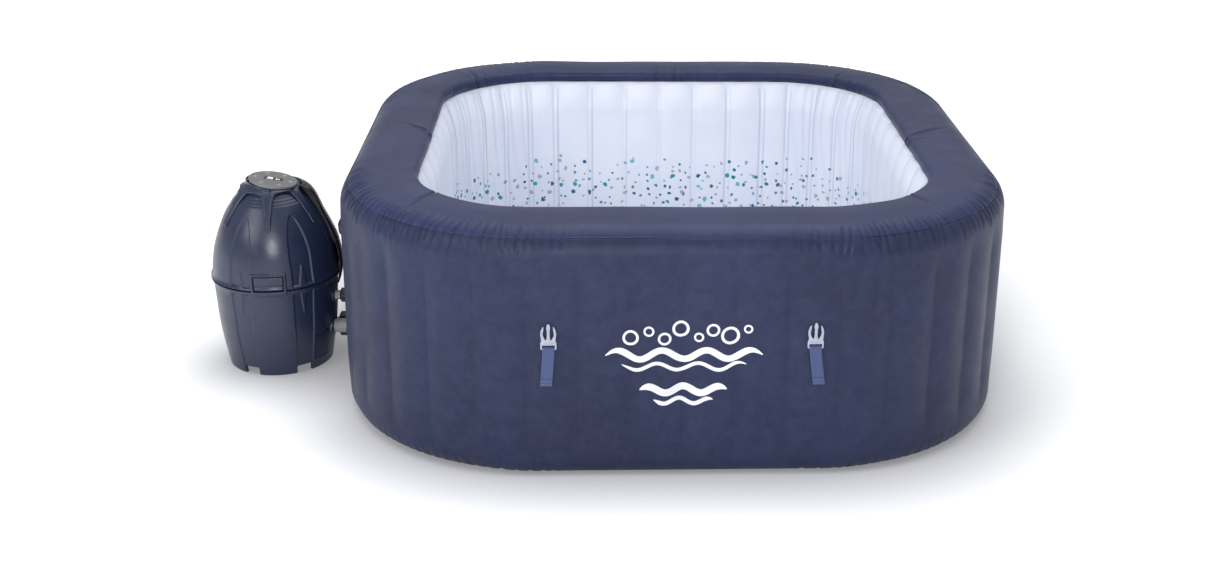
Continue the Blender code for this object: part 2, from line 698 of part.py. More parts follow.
def control_panel():
    """A tilted disc with a window for the readouts and a ring of push buttons."""
    tilt = panel_matrix()
    profile = [(0.0, 0.0), (PANEL_R - 0.003, 0.0), (PANEL_R, -0.003), (PANEL_R, -PANEL_T), (0.0, -PANEL_T)]
    panel = turned("control_panel", profile, material("panel_plastic", GREY, 0.4))
    panel.matrix_world = tilt
    wide, deep, thick = WINDOW_SIZE
    window = as_cutter(box("cut_window", (wide + 2 * GAP, deep + 2 * GAP, 0.006), plain))
    window.matrix_world = tilt @ Matrix.Translation((0, WINDOW_SHIFT, 0.0005))
    boolean(panel, window)
    lens = box("display_window", WINDOW_SIZE, material("display_lens", BLACK, 0.1))
    lens.matrix_world = tilt @ Matrix.Translation((0, WINDOW_SHIFT, 0.0001 - thick / 2))
    for k in range(BUTTON_COUNT):
        angle = math.radians(360 / BUTTON_COUNT * (k + 0.5) - 90)
        place = Matrix.Translation((BUTTON_RING * math.cos(angle), BUTTON_RING * math.sin(angle), 0))
        hole = as_cutter(cylinder(f"cut_button_{k}", BUTTON_R + GAP, 0.03, plain, segments=16))
        hole.matrix_world = tilt @ place
        boolean(panel, hole)
        button = cylinder(f"button_{k + 1}", BUTTON_R, BUTTON_LENGTH, material("button_plastic", WHITE, 0.4), segments=16)
        button.matrix_world = tilt @ place @ Matrix.Translation((0, 0, BUTTON_PROUD - BUTTON_LENGTH / 2))
    board = box("control_board", BOARD_SIZE, material("circuit_board", GREEN, 0.5))
    board.matrix_world = tilt @ Matrix.Translation((0, 0, -PANEL_T - BOARD_DEPTH))


def rear_spine():
    """A raised rear cover on the dome. Its middle stands off as a carrying handle."""
    centre = (PUMP_X, PUMP_Y, 0)
    gap = 2 * GAP
    follow = offset(dome_curve(), gap)
    inner = [(follow[0][0] + 0.0035, follow[0][1] + 0.002)] + follow[1:]
    inner += [(r + gap, z) for r, z in SPINE_FOOT_INSIDE]
    spine = sector("rear_spine", list(SPINE_OUTLINE) + inner[::-1], SPINE_FROM, SPINE_TO, SPINE_STEPS,
                   material("spine_plastic", BLACK, 0.2), centre)
    slot = sector("handle_gap", HANDLE_GAP, SPINE_FROM - 5, SPINE_TO + 5, SPINE_STEPS, plain, centre)
    boolean(spine, as_cutter(slot))


def pump_trim():
    centre = (PUMP_X, PUMP_Y, 0)
    front = -90 + PUMP_TURN
    sector("latch_plate", LATCH_OUTLINE, front - LATCH_HALF_ANGLE, front + LATCH_HALF_ANGLE, 4,
           material("pump_plastic", PUMP_NAVY, 0.33), centre)
    sector("intake_grille", GRILLE_OUTLINE, GRILLE_FROM, GRILLE_TO, 4, material("grille_plastic", BLACK, 0.4), centre)
    gland = [(0.0, 0.0200), (0.0060, 0.0200), (0.0085, 0.0120), (0.0110, 0.0040), (0.0110, 0.0), (0.0, 0.0)]
    angle = math.radians(GLAND_ANGLE)
    turned("cord_gland", gland, material("gland_rubber", BLACK, 0.6),
           (PUMP_X + GLAND_R * math.cos(angle), PUMP_Y + GLAND_R * math.sin(angle), GLAND_Z),
           (0, math.radians(90), angle), 12)


def pump_insides():
    black = material("motor_plastic", BLACK, 0.5)
    steel = material("steel", STEEL, 0.3, 1.0)
    x, y = PUMP_X, PUMP_Y + WATER_PUMP_SHIFT
    floor = BASE_PLATE_Z + WALL + GAP
    top = WATER_PUMP_TOP
    casing = [(0.010, top), (0.048, top), (0.048, 0.085), (0.030, 0.075), (0.030, floor), (0.0, floor),
              (0.0, 0.089), (0.044, 0.089), (0.044, top - 0.004), (0.010, top - 0.004)]
    turned("water_pump_casing", casing, black, (x, y, 0), steps=24)
    impeller = [(0.0, 0.0270), (0.0045, 0.0270), (0.0045, 0.0120), (0.012, 0.0110), (0.038, 0.0060), (0.040, 0.0),
                (0.0, 0.0)]
    turned("impeller", impeller, material("impeller_plastic", WHITE, 0.4), (x, y, IMPELLER_Z), steps=20)
    motor = [(0.0, 0.1850), (0.030, 0.1850), (0.036, 0.1790), (0.036, top + GAP), (0.0, top + GAP)]
    turned("water_pump_motor", motor, steel, (x, y, 0), steps=24)
    x, y = PUMP_X + BLOWER_SHIFT[0], PUMP_Y + BLOWER_SHIFT[1]
    blower = [(0.008, 0.0960), (0.047, 0.0960), (0.047, floor), (0.0, floor), (0.0, floor + 0.004), (0.043, floor + 0.004),
              (0.043, 0.0920), (0.008, 0.0920)]
    turned("blower_casing", blower, black, (x, y, 0), steps=24)
    fan = [(0.0, 0.0400), (0.012, 0.0400), (0.016, 0.0100), (0.039, 0.0080), (0.039, 0.0), (0.0, 0.0)]
    turned("blower_fan", fan, material("impeller_plastic", WHITE, 0.4), (x, y, FAN_Z), steps=20)
    cylinder("heater_tube", HEATER_R, HEATER_LENGTH, steel, (PUMP_X + HEATER_SHIFT, OUTLET[0], OUTLET[1]),
             (0, math.radians(90), 0), 20)


def pipes_and_nuts():
    grey = material("pipe_plastic", CLEAR_GREY, 0.25)
    black = material("nut_plastic", BLACK, 0.35)
    face = -TUB_HALF - NECK - GAP
    y, z, radius, _ = INLET
    tube("inlet_pipe", [(face, y, z), (PUMP_X + 0.052, y, z)], radius, grey, 4)
    y, z, radius, _ = OUTLET
    tube("outlet_pipe", [(face, y, z), (PUMP_X + 0.0855, y, z)], radius, grey, 4)
    y, z, radius, _ = AIR
    blower = Vector((PUMP_X + BLOWER_SHIFT[0], PUMP_Y + BLOWER_SHIFT[1], 0.0985))
    route = [blower, blower + Vector((0, 0, 0.040)), blower + Vector((0.006, -0.008, 0.075)),
             Vector((PUMP_X - 0.045, y + 0.018, z - 0.006)), Vector((PUMP_X, y, z)), Vector((PUMP_X + 0.06, y, z)),
             Vector((face, y, z))]
    tube("air_pipe", smooth([tuple(p) for p in route], 3), radius, grey, 3)
    for name, place, nut in (("inlet_nut", INLET, INLET_NUT), ("outlet_nut", OUTLET, OUTLET_NUT),
                             ("air_nut", AIR, AIR_NUT)):
        at, bore, large, length = nut
        half = length / 2
        profile = [(bore, half), (large - NUT_EDGE, half), (large, half - NUT_EDGE), (large, NUT_EDGE - half),
                   (large - NUT_EDGE, -half), (bore, -half)]
        turned(name, profile, black, (at, place[0], place[1]), (0, math.radians(90), 0), 20)


plain = material("cutter", WHITE, 0.5)
holes = port_cutters()
tub_shells(holes)
pool_floor()
bubble_duct()
web_frame(holes)
fitting_look = material("fitting_plastic", BLACK, 0.4)
wall_fitting("inlet_fitting", INLET, fitting_look)
wall_fitting("outlet_fitting", OUTLET, fitting_look)
wall_fitting("air_fitting", AIR, fitting_look)
straps_and_buckles()
valves()
filter_unit()
pump_shells()
pump_crown()
control_panel()
rear_spine()
pump_trim()
pump_insides()
pipes_and_nuts()
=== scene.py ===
"""Looks for the inflatable hot tub: puffed sheets, webbing, moulded pump shells and their materials."""
import math
import random

import bmesh
import bpy
import numpy as np
from mathutils import Matrix, Vector


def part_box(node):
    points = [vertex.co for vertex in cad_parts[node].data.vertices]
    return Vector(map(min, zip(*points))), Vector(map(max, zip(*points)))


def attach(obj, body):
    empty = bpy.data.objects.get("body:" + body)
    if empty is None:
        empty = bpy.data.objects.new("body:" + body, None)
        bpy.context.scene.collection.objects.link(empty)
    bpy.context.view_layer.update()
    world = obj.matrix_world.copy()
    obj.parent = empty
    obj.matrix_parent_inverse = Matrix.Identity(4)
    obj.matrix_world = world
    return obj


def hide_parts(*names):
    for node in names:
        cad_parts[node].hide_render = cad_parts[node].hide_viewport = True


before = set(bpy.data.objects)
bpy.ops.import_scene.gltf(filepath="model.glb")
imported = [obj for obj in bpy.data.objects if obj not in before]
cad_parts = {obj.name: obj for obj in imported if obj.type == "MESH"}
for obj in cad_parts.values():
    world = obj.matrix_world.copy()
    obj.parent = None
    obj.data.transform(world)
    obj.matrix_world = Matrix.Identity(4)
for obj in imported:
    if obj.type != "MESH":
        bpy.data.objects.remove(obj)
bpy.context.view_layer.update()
ROOT = "tub_and_pump"
scene = bpy.context.scene

# ---------------------------------------------------------------- camera

CAMERA_AT = (-0.2089, -4.4799, 1.9508)
CAMERA_RIGHT = (0.99904, -0.04209, 0.01242)
CAMERA_UP = (0.00263, 0.34010, 0.94039)
CAMERA_LENS = 46.37
CAMERA_SHIFT = (-0.0426, -0.0381)


def make_camera():
    data = bpy.data.cameras.new("camera")
    data.sensor_width = 36.0
    data.lens = CAMERA_LENS
    data.shift_x, data.shift_y = CAMERA_SHIFT
    data.clip_end = 60.0
    camera = bpy.data.objects.new("camera", data)
    right = Vector(CAMERA_RIGHT).normalized()
    up = Vector(CAMERA_UP)
    back = right.cross(up).normalized()
    up = back.cross(right)
    turn = Matrix((right, up, back)).transposed().to_4x4()
    camera.matrix_world = Matrix.Translation(CAMERA_AT) @ turn
    scene.collection.objects.link(camera)
    scene.camera = camera


# ---------------------------------------------------------------- materials

def srgb(*values):
    """0-255 display values as linear colour."""
    return tuple((v / 255 / 12.92) if v <= 10 else ((v / 255 + 0.055) / 1.055) ** 2.4 for v in values)


class Look:
    """A small builder for one procedural material."""

    def __init__(self, name, **sockets):
        self.material = bpy.data.materials.new(name)
        self.material.use_nodes = True
        self.tree = self.material.node_tree
        self.shader = self.tree.nodes["Principled BSDF"]
        self.coords = self.tree.nodes.new("ShaderNodeTexCoord").outputs["Object"]
        for key, value in sockets.items():
            socket = self.shader.inputs[key.replace("_", " ")]
            socket.default_value = (*value, 1.0) if isinstance(value, tuple) else value

    def node(self, kind, **settings):
        made = self.tree.nodes.new("ShaderNode" + kind)
        for key, value in settings.items():
            setattr(made, key, value)
        return made

    def link(self, source, target):
        self.tree.links.new(source, target)
        return target

    def noise(self, scale, detail=3.0, rough=0.55, vector=None, stretch=None):
        made = self.node("TexNoise")
        made.inputs["Scale"].default_value = scale
        made.inputs["Detail"].default_value = detail
        made.inputs["Roughness"].default_value = rough
        vector = vector or self.coords
        if stretch:
            vector = self.stretched(stretch, vector)
        self.link(vector, made.inputs["Vector"])
        return made.outputs["Fac"]

    def stretched(self, scale, vector=None, turn=(0, 0, 0)):
        made = self.node("Mapping")
        made.inputs["Scale"].default_value = scale
        made.inputs["Rotation"].default_value = turn
        self.link(vector or self.coords, made.inputs["Vector"])
        return made.outputs["Vector"]

    def math(self, operation, a, b=None, c=None, clamp=False):
        made = self.node("Math", operation=operation, use_clamp=clamp)
        for index, value in enumerate((a, b, c)):
            if value is None:
                continue
            if isinstance(value, (int, float)):
                made.inputs[index].default_value = value
            else:
                self.link(value, made.inputs[index])
        return made.outputs[0]

    def ramp(self, value, low, high, out_low=0.0, out_high=1.0):
        made = self.node("MapRange", clamp=True)
        self.link(value, made.inputs["Value"])
        for key, number in (("From Min", low), ("From Max", high), ("To Min", out_low),
                            ("To Max", out_high)):
            made.inputs[key].default_value = number
        return made.outputs["Result"]

    def mix(self, fac, a, b, blend="MIX"):
        made = self.node("Mix", data_type="RGBA", blend_type=blend)
        for index, value in ((0, fac), (6, a), (7, b)):
            if isinstance(value, tuple):
                made.inputs[index].default_value = (*value, 1.0)
            elif isinstance(value, (int, float)):
                made.inputs[index].default_value = value
            else:
                self.link(value, made.inputs[index])
        return made.outputs[2]

    def colour(self, value):
        self.link(value, self.shader.inputs["Base Color"])
        return self

    def rough(self, value):
        self.link(value, self.shader.inputs["Roughness"])
        return self

    def attribute(self, name):
        made = self.node("Attribute", attribute_name=name)
        return made.outputs["Fac"]

    def bumps(self, *layers):
        """Each layer is (height, strength, distance in metres)."""
        normal = None
        for height, strength, distance in layers:
            made = self.node("Bump")
            made.inputs["Strength"].default_value = strength
            made.inputs["Distance"].default_value = distance
            self.link(height, made.inputs["Height"])
            if normal is not None:
                self.link(normal, made.inputs["Normal"])
            normal = made.outputs["Normal"]
        self.link(normal, self.shader.inputs["Normal"])
        return self


NAVY = srgb(34, 41, 74)
NAVY_DARK = srgb(28, 34, 62)
PUMP = srgb(36, 44, 70)


def pvc(name, colour, dark, roughness):
    """Laminated PVC sheet: pebbled film over a woven scrim, a little mottled, with painted shade where it
    creases.
    """
    look = Look(name, Specular_IOR_Level=0.27, Sheen_Weight=0.03, Sheen_Roughness=0.5)
    mottle = look.ramp(look.noise(2.6, 5.0), 0.35, 0.68)
    dust = look.ramp(look.noise(34.0, 6.0, 0.7), 0.40, 0.75)
    base = look.mix(mottle, dark, colour)
    base = look.mix(look.math("MULTIPLY", dust, 0.10), base, srgb(96, 104, 140))
    # painted shade: the crease attribute darkens the sheet towards deep navy in its puckers, along the web
    # lines and in the seams
    crease = look.attribute("crease")
    base = look.mix(look.math("MULTIPLY", crease, 0.55, clamp=True), base, srgb(24, 27, 52))
    scrim = look.node("TexWave", wave_type="BANDS", bands_direction="DIAGONAL")
    scrim.inputs["Scale"].default_value = 190.0
    scrim.inputs["Distortion"].default_value = 1.5
    look.link(look.coords, scrim.inputs["Vector"])
    look.colour(base)
    look.rough(look.ramp(look.noise(9.0, 5.0), 0.3, 0.7, roughness - 0.05, roughness + 0.07))
    look.bumps((look.noise(7.0, 4.0), 0.12, 0.004), (look.noise(85.0, 4.0, 0.6), 0.16, 0.0008),
               (look.noise(1400.0, 2.0), 0.20, 0.00025), (scrim.outputs["Fac"], 0.05, 0.0002))
    return look.material


def liner_material(name, speckled=True):
    """Pale liner sheet, with painted shade along its weld lines and pleats. Its print of small drops thickens
    towards the foot of the wall.
    """
    look = Look(name, Specular_IOR_Level=0.38, Sheen_Weight=0.04)
    base = look.mix(look.ramp(look.noise(3.0, 4.0), 0.35, 0.7), srgb(228, 232, 245), srgb(238, 241, 250))
    if speckled:
        base = speckles(look, base)
    # painted shade: the crease attribute darkens the sheet towards a greyish lilac along its weld lines, pleats
    # and pinches
    crease = look.attribute("crease")
    base = look.mix(look.math("MULTIPLY", crease, 0.6, clamp=True), base, srgb(150, 158, 198))
    look.colour(base)
    look.rough(look.ramp(look.noise(12.0, 4.0), 0.3, 0.7, 0.34, 0.44))
    look.bumps((look.noise(60.0, 4.0), 0.10, 0.0008), (look.noise(1300.0, 2.0), 0.14, 0.0002))
    return look.material


SPECK_CELL = 0.0275
SPECK_FROM, SPECK_FULL = 0.380, 0.300
SPECK_COLOURS = ((0.0, (16, 120, 138)), (0.2, (20, 96, 150)), (0.34, (120, 184, 196)),
                 (0.5, (176, 176, 182)),
                 (0.82, (40, 150, 160)))


def speckles(look, base):
    """Drops on a jittered grid of cells: the map's U is the way round in metres, V the height in metres."""
    uv = look.node("UVMap").outputs["UV"]
    wobble = look.node("TexNoise")
    wobble.inputs["Scale"].default_value = 60.0
    look.link(uv, wobble.inputs["Vector"])
    shift = look.node("VectorMath", operation="SUBTRACT")
    look.link(wobble.outputs["Color"], shift.inputs[0])
    shift.inputs[1].default_value = (0.5, 0.5, 0.5)
    scaled = look.node("VectorMath", operation="SCALE")
    look.link(shift.outputs[0], scaled.inputs[0])
    scaled.inputs["Scale"].default_value = 0.014
    moved = look.node("VectorMath", operation="ADD")
    look.link(uv, moved.inputs[0])
    look.link(scaled.outputs[0], moved.inputs[1])
    cells = look.node("TexVoronoi", voronoi_dimensions="2D", feature="F1")
    cells.inputs["Scale"].default_value = 1.0 / SPECK_CELL
    cells.inputs["Randomness"].default_value = 0.95
    look.link(moved.outputs[0], cells.inputs["Vector"])
    pick = look.node("SeparateColor")
    look.link(cells.outputs["Color"], pick.inputs[0])
    height = look.node("SeparateXYZ")
    look.link(cells.outputs["Position"], height.inputs[0])
    chance = look.ramp(height.outputs["Y"], SPECK_FROM, SPECK_FULL, 0.0, 0.92)
    present = look.math("LESS_THAN", pick.outputs[0], chance)
    size = look.ramp(look.math("POWER", pick.outputs[1], 1.8), 0.0, 1.0, 0.13, 0.28)
    inside = look.math("LESS_THAN", cells.outputs["Distance"], size)
    shown = look.math("MULTIPLY", inside, present)
    hues = look.node("ValToRGB")
    hues.color_ramp.interpolation = "CONSTANT"
    for index, (place, colour) in enumerate(SPECK_COLOURS):
        element = hues.color_ramp.elements[index] if index < 2 else hues.color_ramp.elements.new(place)
        element.position = place
        element.color = (*srgb(*colour), 1.0)
    look.link(pick.outputs[2], hues.inputs["Fac"])
    return look.mix(shown, base, hues.outputs["Color"])


def moulded(name, colour, roughness, grain, grain_depth, specular=0.5, **more):
    """Injection-moulded plastic: fine spark-erosion grain, slight flow marks, paler at handled places."""
    look = Look(name, Specular_IOR_Level=specular, **more)
    worn = tuple(min(1.0, c * 1.35 + 0.01) for c in colour)
    dark = tuple(c * 0.82 for c in colour)
    flow = look.ramp(look.noise(6.0, 4.0), 0.35, 0.7)
    rub = look.ramp(look.noise(45.0, 6.0, 0.7), 0.52, 0.78)
    base = look.mix(flow, dark, colour)
    base = look.mix(look.math("MULTIPLY", rub, 0.22), base, worn)
    look.colour(base)
    look.rough(look.ramp(look.noise(22.0, 5.0), 0.3, 0.7, roughness - 0.05, roughness + 0.07))
    look.bumps((look.noise(16.0, 3.0), 0.06, 0.001), (look.noise(grain, 2.0), 0.25, grain_depth))
    return look.material


def webbing_material():
    look = Look("webbing", Specular_IOR_Level=0.25, Sheen_Weight=0.35, Sheen_Roughness=0.4)
    uv = look.node("UVMap").outputs["UV"]
    warp = look.node("TexWave", wave_type="BANDS", bands_direction="X")
    weft = look.node("TexWave", wave_type="BANDS", bands_direction="Y")
    for wave, scale in ((warp, 230.0), (weft, 330.0)):
        wave.inputs["Scale"].default_value = scale
        wave.inputs["Distortion"].default_value = 0.4
        look.link(uv, wave.inputs["Vector"])
    weave = look.math("MULTIPLY", warp.outputs["Fac"], weft.outputs["Fac"])
    base = look.mix(weave, srgb(58, 70, 108), srgb(104, 120, 160))
    base = look.mix(look.ramp(look.noise(30.0, 4.0), 0.4, 0.7, 0.0, 0.3), base, srgb(70, 84, 124))
    look.colour(base)
    look.rough(look.ramp(weave, 0.0, 1.0, 0.85, 0.65))
    look.bumps((weave, 0.5, 0.0004))
    return look.material


def metal(name, colour, roughness):
    look = Look(name, Metallic=1.0)
    look.colour(look.mix(look.noise(40.0, 4.0), tuple(c * 0.75 for c in colour), colour))
    look.rough(look.ramp(look.noise(60.0, 4.0, stretch=(1, 1, 12)), 0.3, 0.7, roughness - 0.06,
                         roughness + 0.08))
    look.bumps((look.noise(300.0, 2.0, stretch=(1, 1, 20)), 0.15, 0.0001))
    return look.material


def glowing(name, colour, strength):
    look = Look(name, Roughness=0.4, Emission_Color=colour, Emission_Strength=strength)
    look.colour(look.mix(look.noise(200.0), colour, tuple(c * 0.9 for c in colour)))
    return look.material


FLOOR = 40.0
# where the painted glow on the floor starts and where it is full, in metres from the origin
PAINTED_GLOW_NEAR, PAINTED_GLOW_FAR = 1.2, 3.2


def floor_material():
    """White sweep: a painted shadow from ambient occlusion close to the tub, and a painted glow, its emission,
    growing further out.
    """
    look = Look("studio_floor", Specular_IOR_Level=0.05, Roughness=0.9, Emission_Color=(1.0, 1.0, 1.0))
    # painted shadow: ambient occlusion darkens the floor towards grey close to the tub
    hidden = look.node("AmbientOcclusion", samples=8)
    hidden.inputs["Distance"].default_value = 0.30
    white = look.mix(look.noise(0.6, 3.0), srgb(252, 252, 254), srgb(249, 249, 252))
    look.colour(look.mix(look.ramp(hidden.outputs["AO"], 0.25, 0.95), srgb(120, 120, 132), white))
    away = look.node("VectorMath", operation="LENGTH")
    look.link(look.coords, away.inputs[0])
    # painted light: the floor's emission grows with distance from the origin
    painted_floor_glow = look.ramp(away.outputs["Value"], PAINTED_GLOW_NEAR, PAINTED_GLOW_FAR, 0.22, 0.64)
    look.link(painted_floor_glow, look.shader.inputs["Emission Strength"])
    return look.material


M = {
    "wall": pvc("wall_sheet", NAVY, NAVY_DARK, 0.47),
    # painted light: the rim sheet is a lighter copy of the wall's navy, standing in for the top light falling
    # on it
    "rim": pvc("rim_sheet", srgb(44, 51, 90), srgb(36, 43, 76), 0.42),
    "liner": liner_material("liner_sheet"),
    "duct": liner_material("duct_sheet", speckled=False),
    "pump": moulded("pump_plastic", PUMP, 0.30, 700.0, 0.00010, specular=0.55),
    "spine": moulded("spine_plastic", srgb(7, 8, 12), 0.24, 500.0, 0.00003, specular=0.28),
    "panel": moulded("panel_plastic", srgb(118, 117, 120), 0.42, 1200.0, 0.0001),
    "lens": moulded("display_lens", srgb(20, 20, 24), 0.08, 300.0, 0.00001, specular=0.6),
    "button": moulded("button_plastic", srgb(140, 139, 142), 0.4, 1300.0, 0.00006),
    "icon": moulded("icon_print", srgb(214, 212, 206), 0.5, 900.0, 0.00003),
    "black": moulded("black_plastic", srgb(20, 21, 25), 0.38, 800.0, 0.0001),
    "gland": moulded("gland_rubber", srgb(22, 22, 24), 0.65, 500.0, 0.0002, specular=0.3),
    "buckle": moulded("buckle_plastic", srgb(176, 182, 200), 0.30, 900.0, 0.00005),
    "pool": moulded("pool_plastic", srgb(196, 202, 220), 0.38, 900.0, 0.0001),
    "paper": moulded("filter_paper", srgb(228, 230, 234), 0.85, 300.0, 0.0004, specular=0.1),
    "pipe": moulded("pipe_plastic", srgb(166, 166, 170), 0.22, 400.0, 0.00004, specular=0.5,
                    Transmission_Weight=0.25),
    "white": moulded("impeller_plastic", srgb(220, 220, 218), 0.45, 900.0, 0.0001),
    "board": moulded("circuit_board", srgb(36, 110, 62), 0.5, 120.0, 0.0002),
    "web": moulded("web_sheet", srgb(222, 224, 230), 0.5, 600.0, 0.0001),
    "print": moulded("motif_print", srgb(240, 241, 246), 0.45, 1500.0, 0.00005),
    "thread": moulded("stitch_thread", srgb(150, 162, 196), 0.8, 600.0, 0.0002, specular=0.2),
    "steel": metal("steel", srgb(196, 197, 202), 0.30),
    "webbing": webbing_material(),
    "lit": glowing("lit_segments", srgb(250, 250, 244), 1.1),
}

# ---------------------------------------------------------------- mesh helpers


def mesh_object(name, verts, faces, material, smooth=True):
    mesh = bpy.data.meshes.new(name)
    mesh.from_pydata([tuple(v) for v in np.asarray(verts, float)], [], [tuple(f) for f in faces])
    mesh.validate()
    mesh.materials.append(M[material])
    made = bpy.data.objects.new(name, mesh)
    scene.collection.objects.link(made)
    if smooth:
        mesh.shade_smooth()
    return made


def finish_piece(made, body, slot, *nodes):
    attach(made, body)
    if nodes:
        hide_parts(*nodes)
    return made


def grid_faces(rows, cols, wrap_rows, wrap_cols):
    r = np.arange(rows if wrap_rows else rows - 1)
    c = np.arange(cols if wrap_cols else cols - 1)
    r0, c0 = np.meshgrid(r, c, indexing="ij")
    r1, c1 = (r0 + 1) % rows, (c0 + 1) % cols
    faces = np.stack([r0 * cols + c0, r1 * cols + c0, r1 * cols + c1, r0 * cols + c1], axis=-1)
    return faces.reshape(-1, 4)


def grid_object(name, points, material, wrap_rows=True, wrap_cols=True, uv=None, crease=None):
    """A mesh from a (rows, columns, 3) array of points."""
    rows, cols = points.shape[:2]
    made = mesh_object(name, points.reshape(-1, 3), grid_faces(rows, cols, wrap_rows, wrap_cols), material)
    mesh = made.data
    index = np.zeros(len(mesh.loops), np.int32)
    mesh.loops.foreach_get("vertex_index", index)
    if uv is not None:
        flat = uv.reshape(-1, 2)[index]
        # a face that closes the ring runs on past its end instead of back across the whole map
        quads = flat.reshape(-1, 4, 2)
        span = flat[:, 0].max() - flat[:, 0].min()
        wide = (quads[:, :, 0].max(1) - quads[:, :, 0].min(1)) > span / 2
        low = quads[:, :, 0] < quads[:, :, 0].max(1, keepdims=True) - span / 2
        quads[:, :, 0] += np.where(wide[:, None] & low, span * (1 + 1 / cols), 0.0)
        layer = mesh.uv_layers.new(name="map")
        layer.data.foreach_set("uv", quads.reshape(-1).astype(np.float32))
    # the crease attribute holds where the sheet materials paint shade: puckers, web lines, seams, pleats and
    # pinches
    values = np.zeros(rows * cols) if crease is None else crease.reshape(-1)
    attribute = mesh.attributes.new("crease", "FLOAT", "POINT")
    attribute.data.foreach_set("value", np.clip(values, 0, 1).astype(np.float32))
    outward(made)
    return made


def outward(made):
    """Turns the faces of a closed mesh outwards."""
    work = bmesh.new()
    work.from_mesh(made.data)
    if work.calc_volume(signed=True) < 0:
        bmesh.ops.reverse_faces(work, faces=work.faces)
        work.to_mesh(made.data)
    work.free()


def ease(x, low, high):
    t = np.clip((x - low) / (high - low), 0.0, 1.0)
    return t * t * (3 - 2 * t)


def hill(x):
    """A crease profile: a groove with a low ridge on either side."""
    return (1 - 1.2 * x * x) * np.exp(-x * x)


# ---------------------------------------------------------------- the tub's plan and its webs

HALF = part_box("outer_wall")[1].x
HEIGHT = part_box("rim_sheet")[1].z
LINER_HALF = 0.670
CENTRE = 0.366
SHOULDER_R = 0.076
SHEET = 0.0012
WEB_PITCH = {"outer": 0.130, "inner": 0.116}
WEBS_SIDE = 3
WEBS_CORNER = 5
STRAIGHT_STEPS = 146
CORNER_STEPS = 210


def side_turn(side):
    """The turn that carries the +X wall to another wall."""
    c, s = math.cos(side * math.pi / 2), math.sin(side * math.pi / 2)
    return np.array([[c, -s], [s, c]])


def plan_columns():
    """For each column: where its radius starts, its outward normal, and its place in a quarter."""
    starts, normals, straight, angle, side_of = [], [], [], [], []
    for side in range(4):
        spin = side_turn(side)
        for a in np.linspace(-CENTRE, CENTRE, STRAIGHT_STEPS + 1)[:-1]:
            starts.append(spin @ (CENTRE, a))
            normals.append(spin @ (1.0, 0.0))
            straight.append(a)
            angle.append(0.0)
            side_of.append(side)
        for t in np.linspace(0, math.pi / 2, CORNER_STEPS + 1)[:-1]:
            starts.append(spin @ (CENTRE, CENTRE))
            normals.append(spin @ (math.cos(t), math.sin(t)))
            straight.append(CENTRE)
            angle.append(t)
            side_of.append(side)
    return tuple(np.array(x) for x in (starts, normals, straight, angle, side_of))


START, NORMAL, ALONG, ANGLE, SIDE = plan_columns()
COLUMNS = len(ALONG)


def quarter_length(half):
    return 2 * CENTRE + (half - CENTRE) * math.pi / 2


def way_round(half):
    """Distance of each column from the middle of the +X wall, measured on one outline."""
    return SIDE * quarter_length(half) + ALONG + (half - CENTRE) * ANGLE


def web_places(half, pitch):
    quarter = quarter_length(half)
    reach = WEBS_SIDE * pitch
    corner = (quarter - 2 * reach) / (WEBS_CORNER + 1)
    places = []
    for side in range(4):
        places += [side * quarter + k * pitch for k in range(-WEBS_SIDE, WEBS_SIDE + 1)]
        places += [side * quarter + reach + (k + 1) * corner for k in range(WEBS_CORNER)]
    return np.array(places)


def web_gap(half, pitch):
    """Each column's signed distance to its nearest web, and the width of the panel it is in."""
    places = web_places(half, pitch)
    total = 4 * quarter_length(half)
    way = way_round(half)
    delta = (way[:, None] - places[None, :] + total / 2) % total - total / 2
    nearest = np.abs(delta).argmin(1)
    gap = delta[np.arange(COLUMNS), nearest]
    before = np.where(delta < 0, np.inf, delta).min(1)
    after = np.where(delta >= 0, np.inf, -delta).min(1)
    return gap, before + after


def spread(rows):
    """Rows of a section, whose items are single values or one for each column, as (rows, columns) arrays."""
    return [np.concatenate([row[i] * np.ones((1, COLUMNS)) for row in rows]) for i in range(len(rows[0]))]


def arc_rows(centre_h, centre_z, radius, start, end, count):
    """Rows of a section round an arc: half-width, height and normal. Angles in degrees."""
    return [(centre_h + radius * math.cos(a), centre_z + radius * math.sin(a), math.cos(a), math.sin(a))
            for a in np.radians(np.linspace(start, end, count))]


def run_down(h, z):
    """Distance along a section from its first row."""
    step = np.hypot(np.diff(h, axis=0), np.diff(z, axis=0))
    return np.concatenate([np.zeros((1, h.shape[1])), np.cumsum(step, axis=0)])


def surface(h, z):
    """Points for arrays of half-width and height, (rows, columns)."""
    xy = START[None] + (h - CENTRE)[..., None] * NORMAL[None]
    return np.concatenate([xy, z[..., None]], axis=-1)


def corner_share():
    """1 in the middle of a corner, 0 on a straight wall, easing over its ends."""
    away = np.minimum(ANGLE, math.pi / 2 - ANGLE)
    return ease(away, 0.0, 0.35) * (ANGLE > 0)


CORNER = corner_share()


def rolling(way, total, seed, waves, amplitude):
    """A smooth, closed, repeatable unevenness round the tub."""
    rng = random.Random(seed)
    value = np.zeros_like(way)
    for _ in range(waves):
        count = rng.randint(5, 34)
        value += rng.uniform(0.4, 1.0) * np.sin(2 * math.pi * count * way / total
                                                + rng.uniform(0, 6.28)) / waves
    return amplitude * value


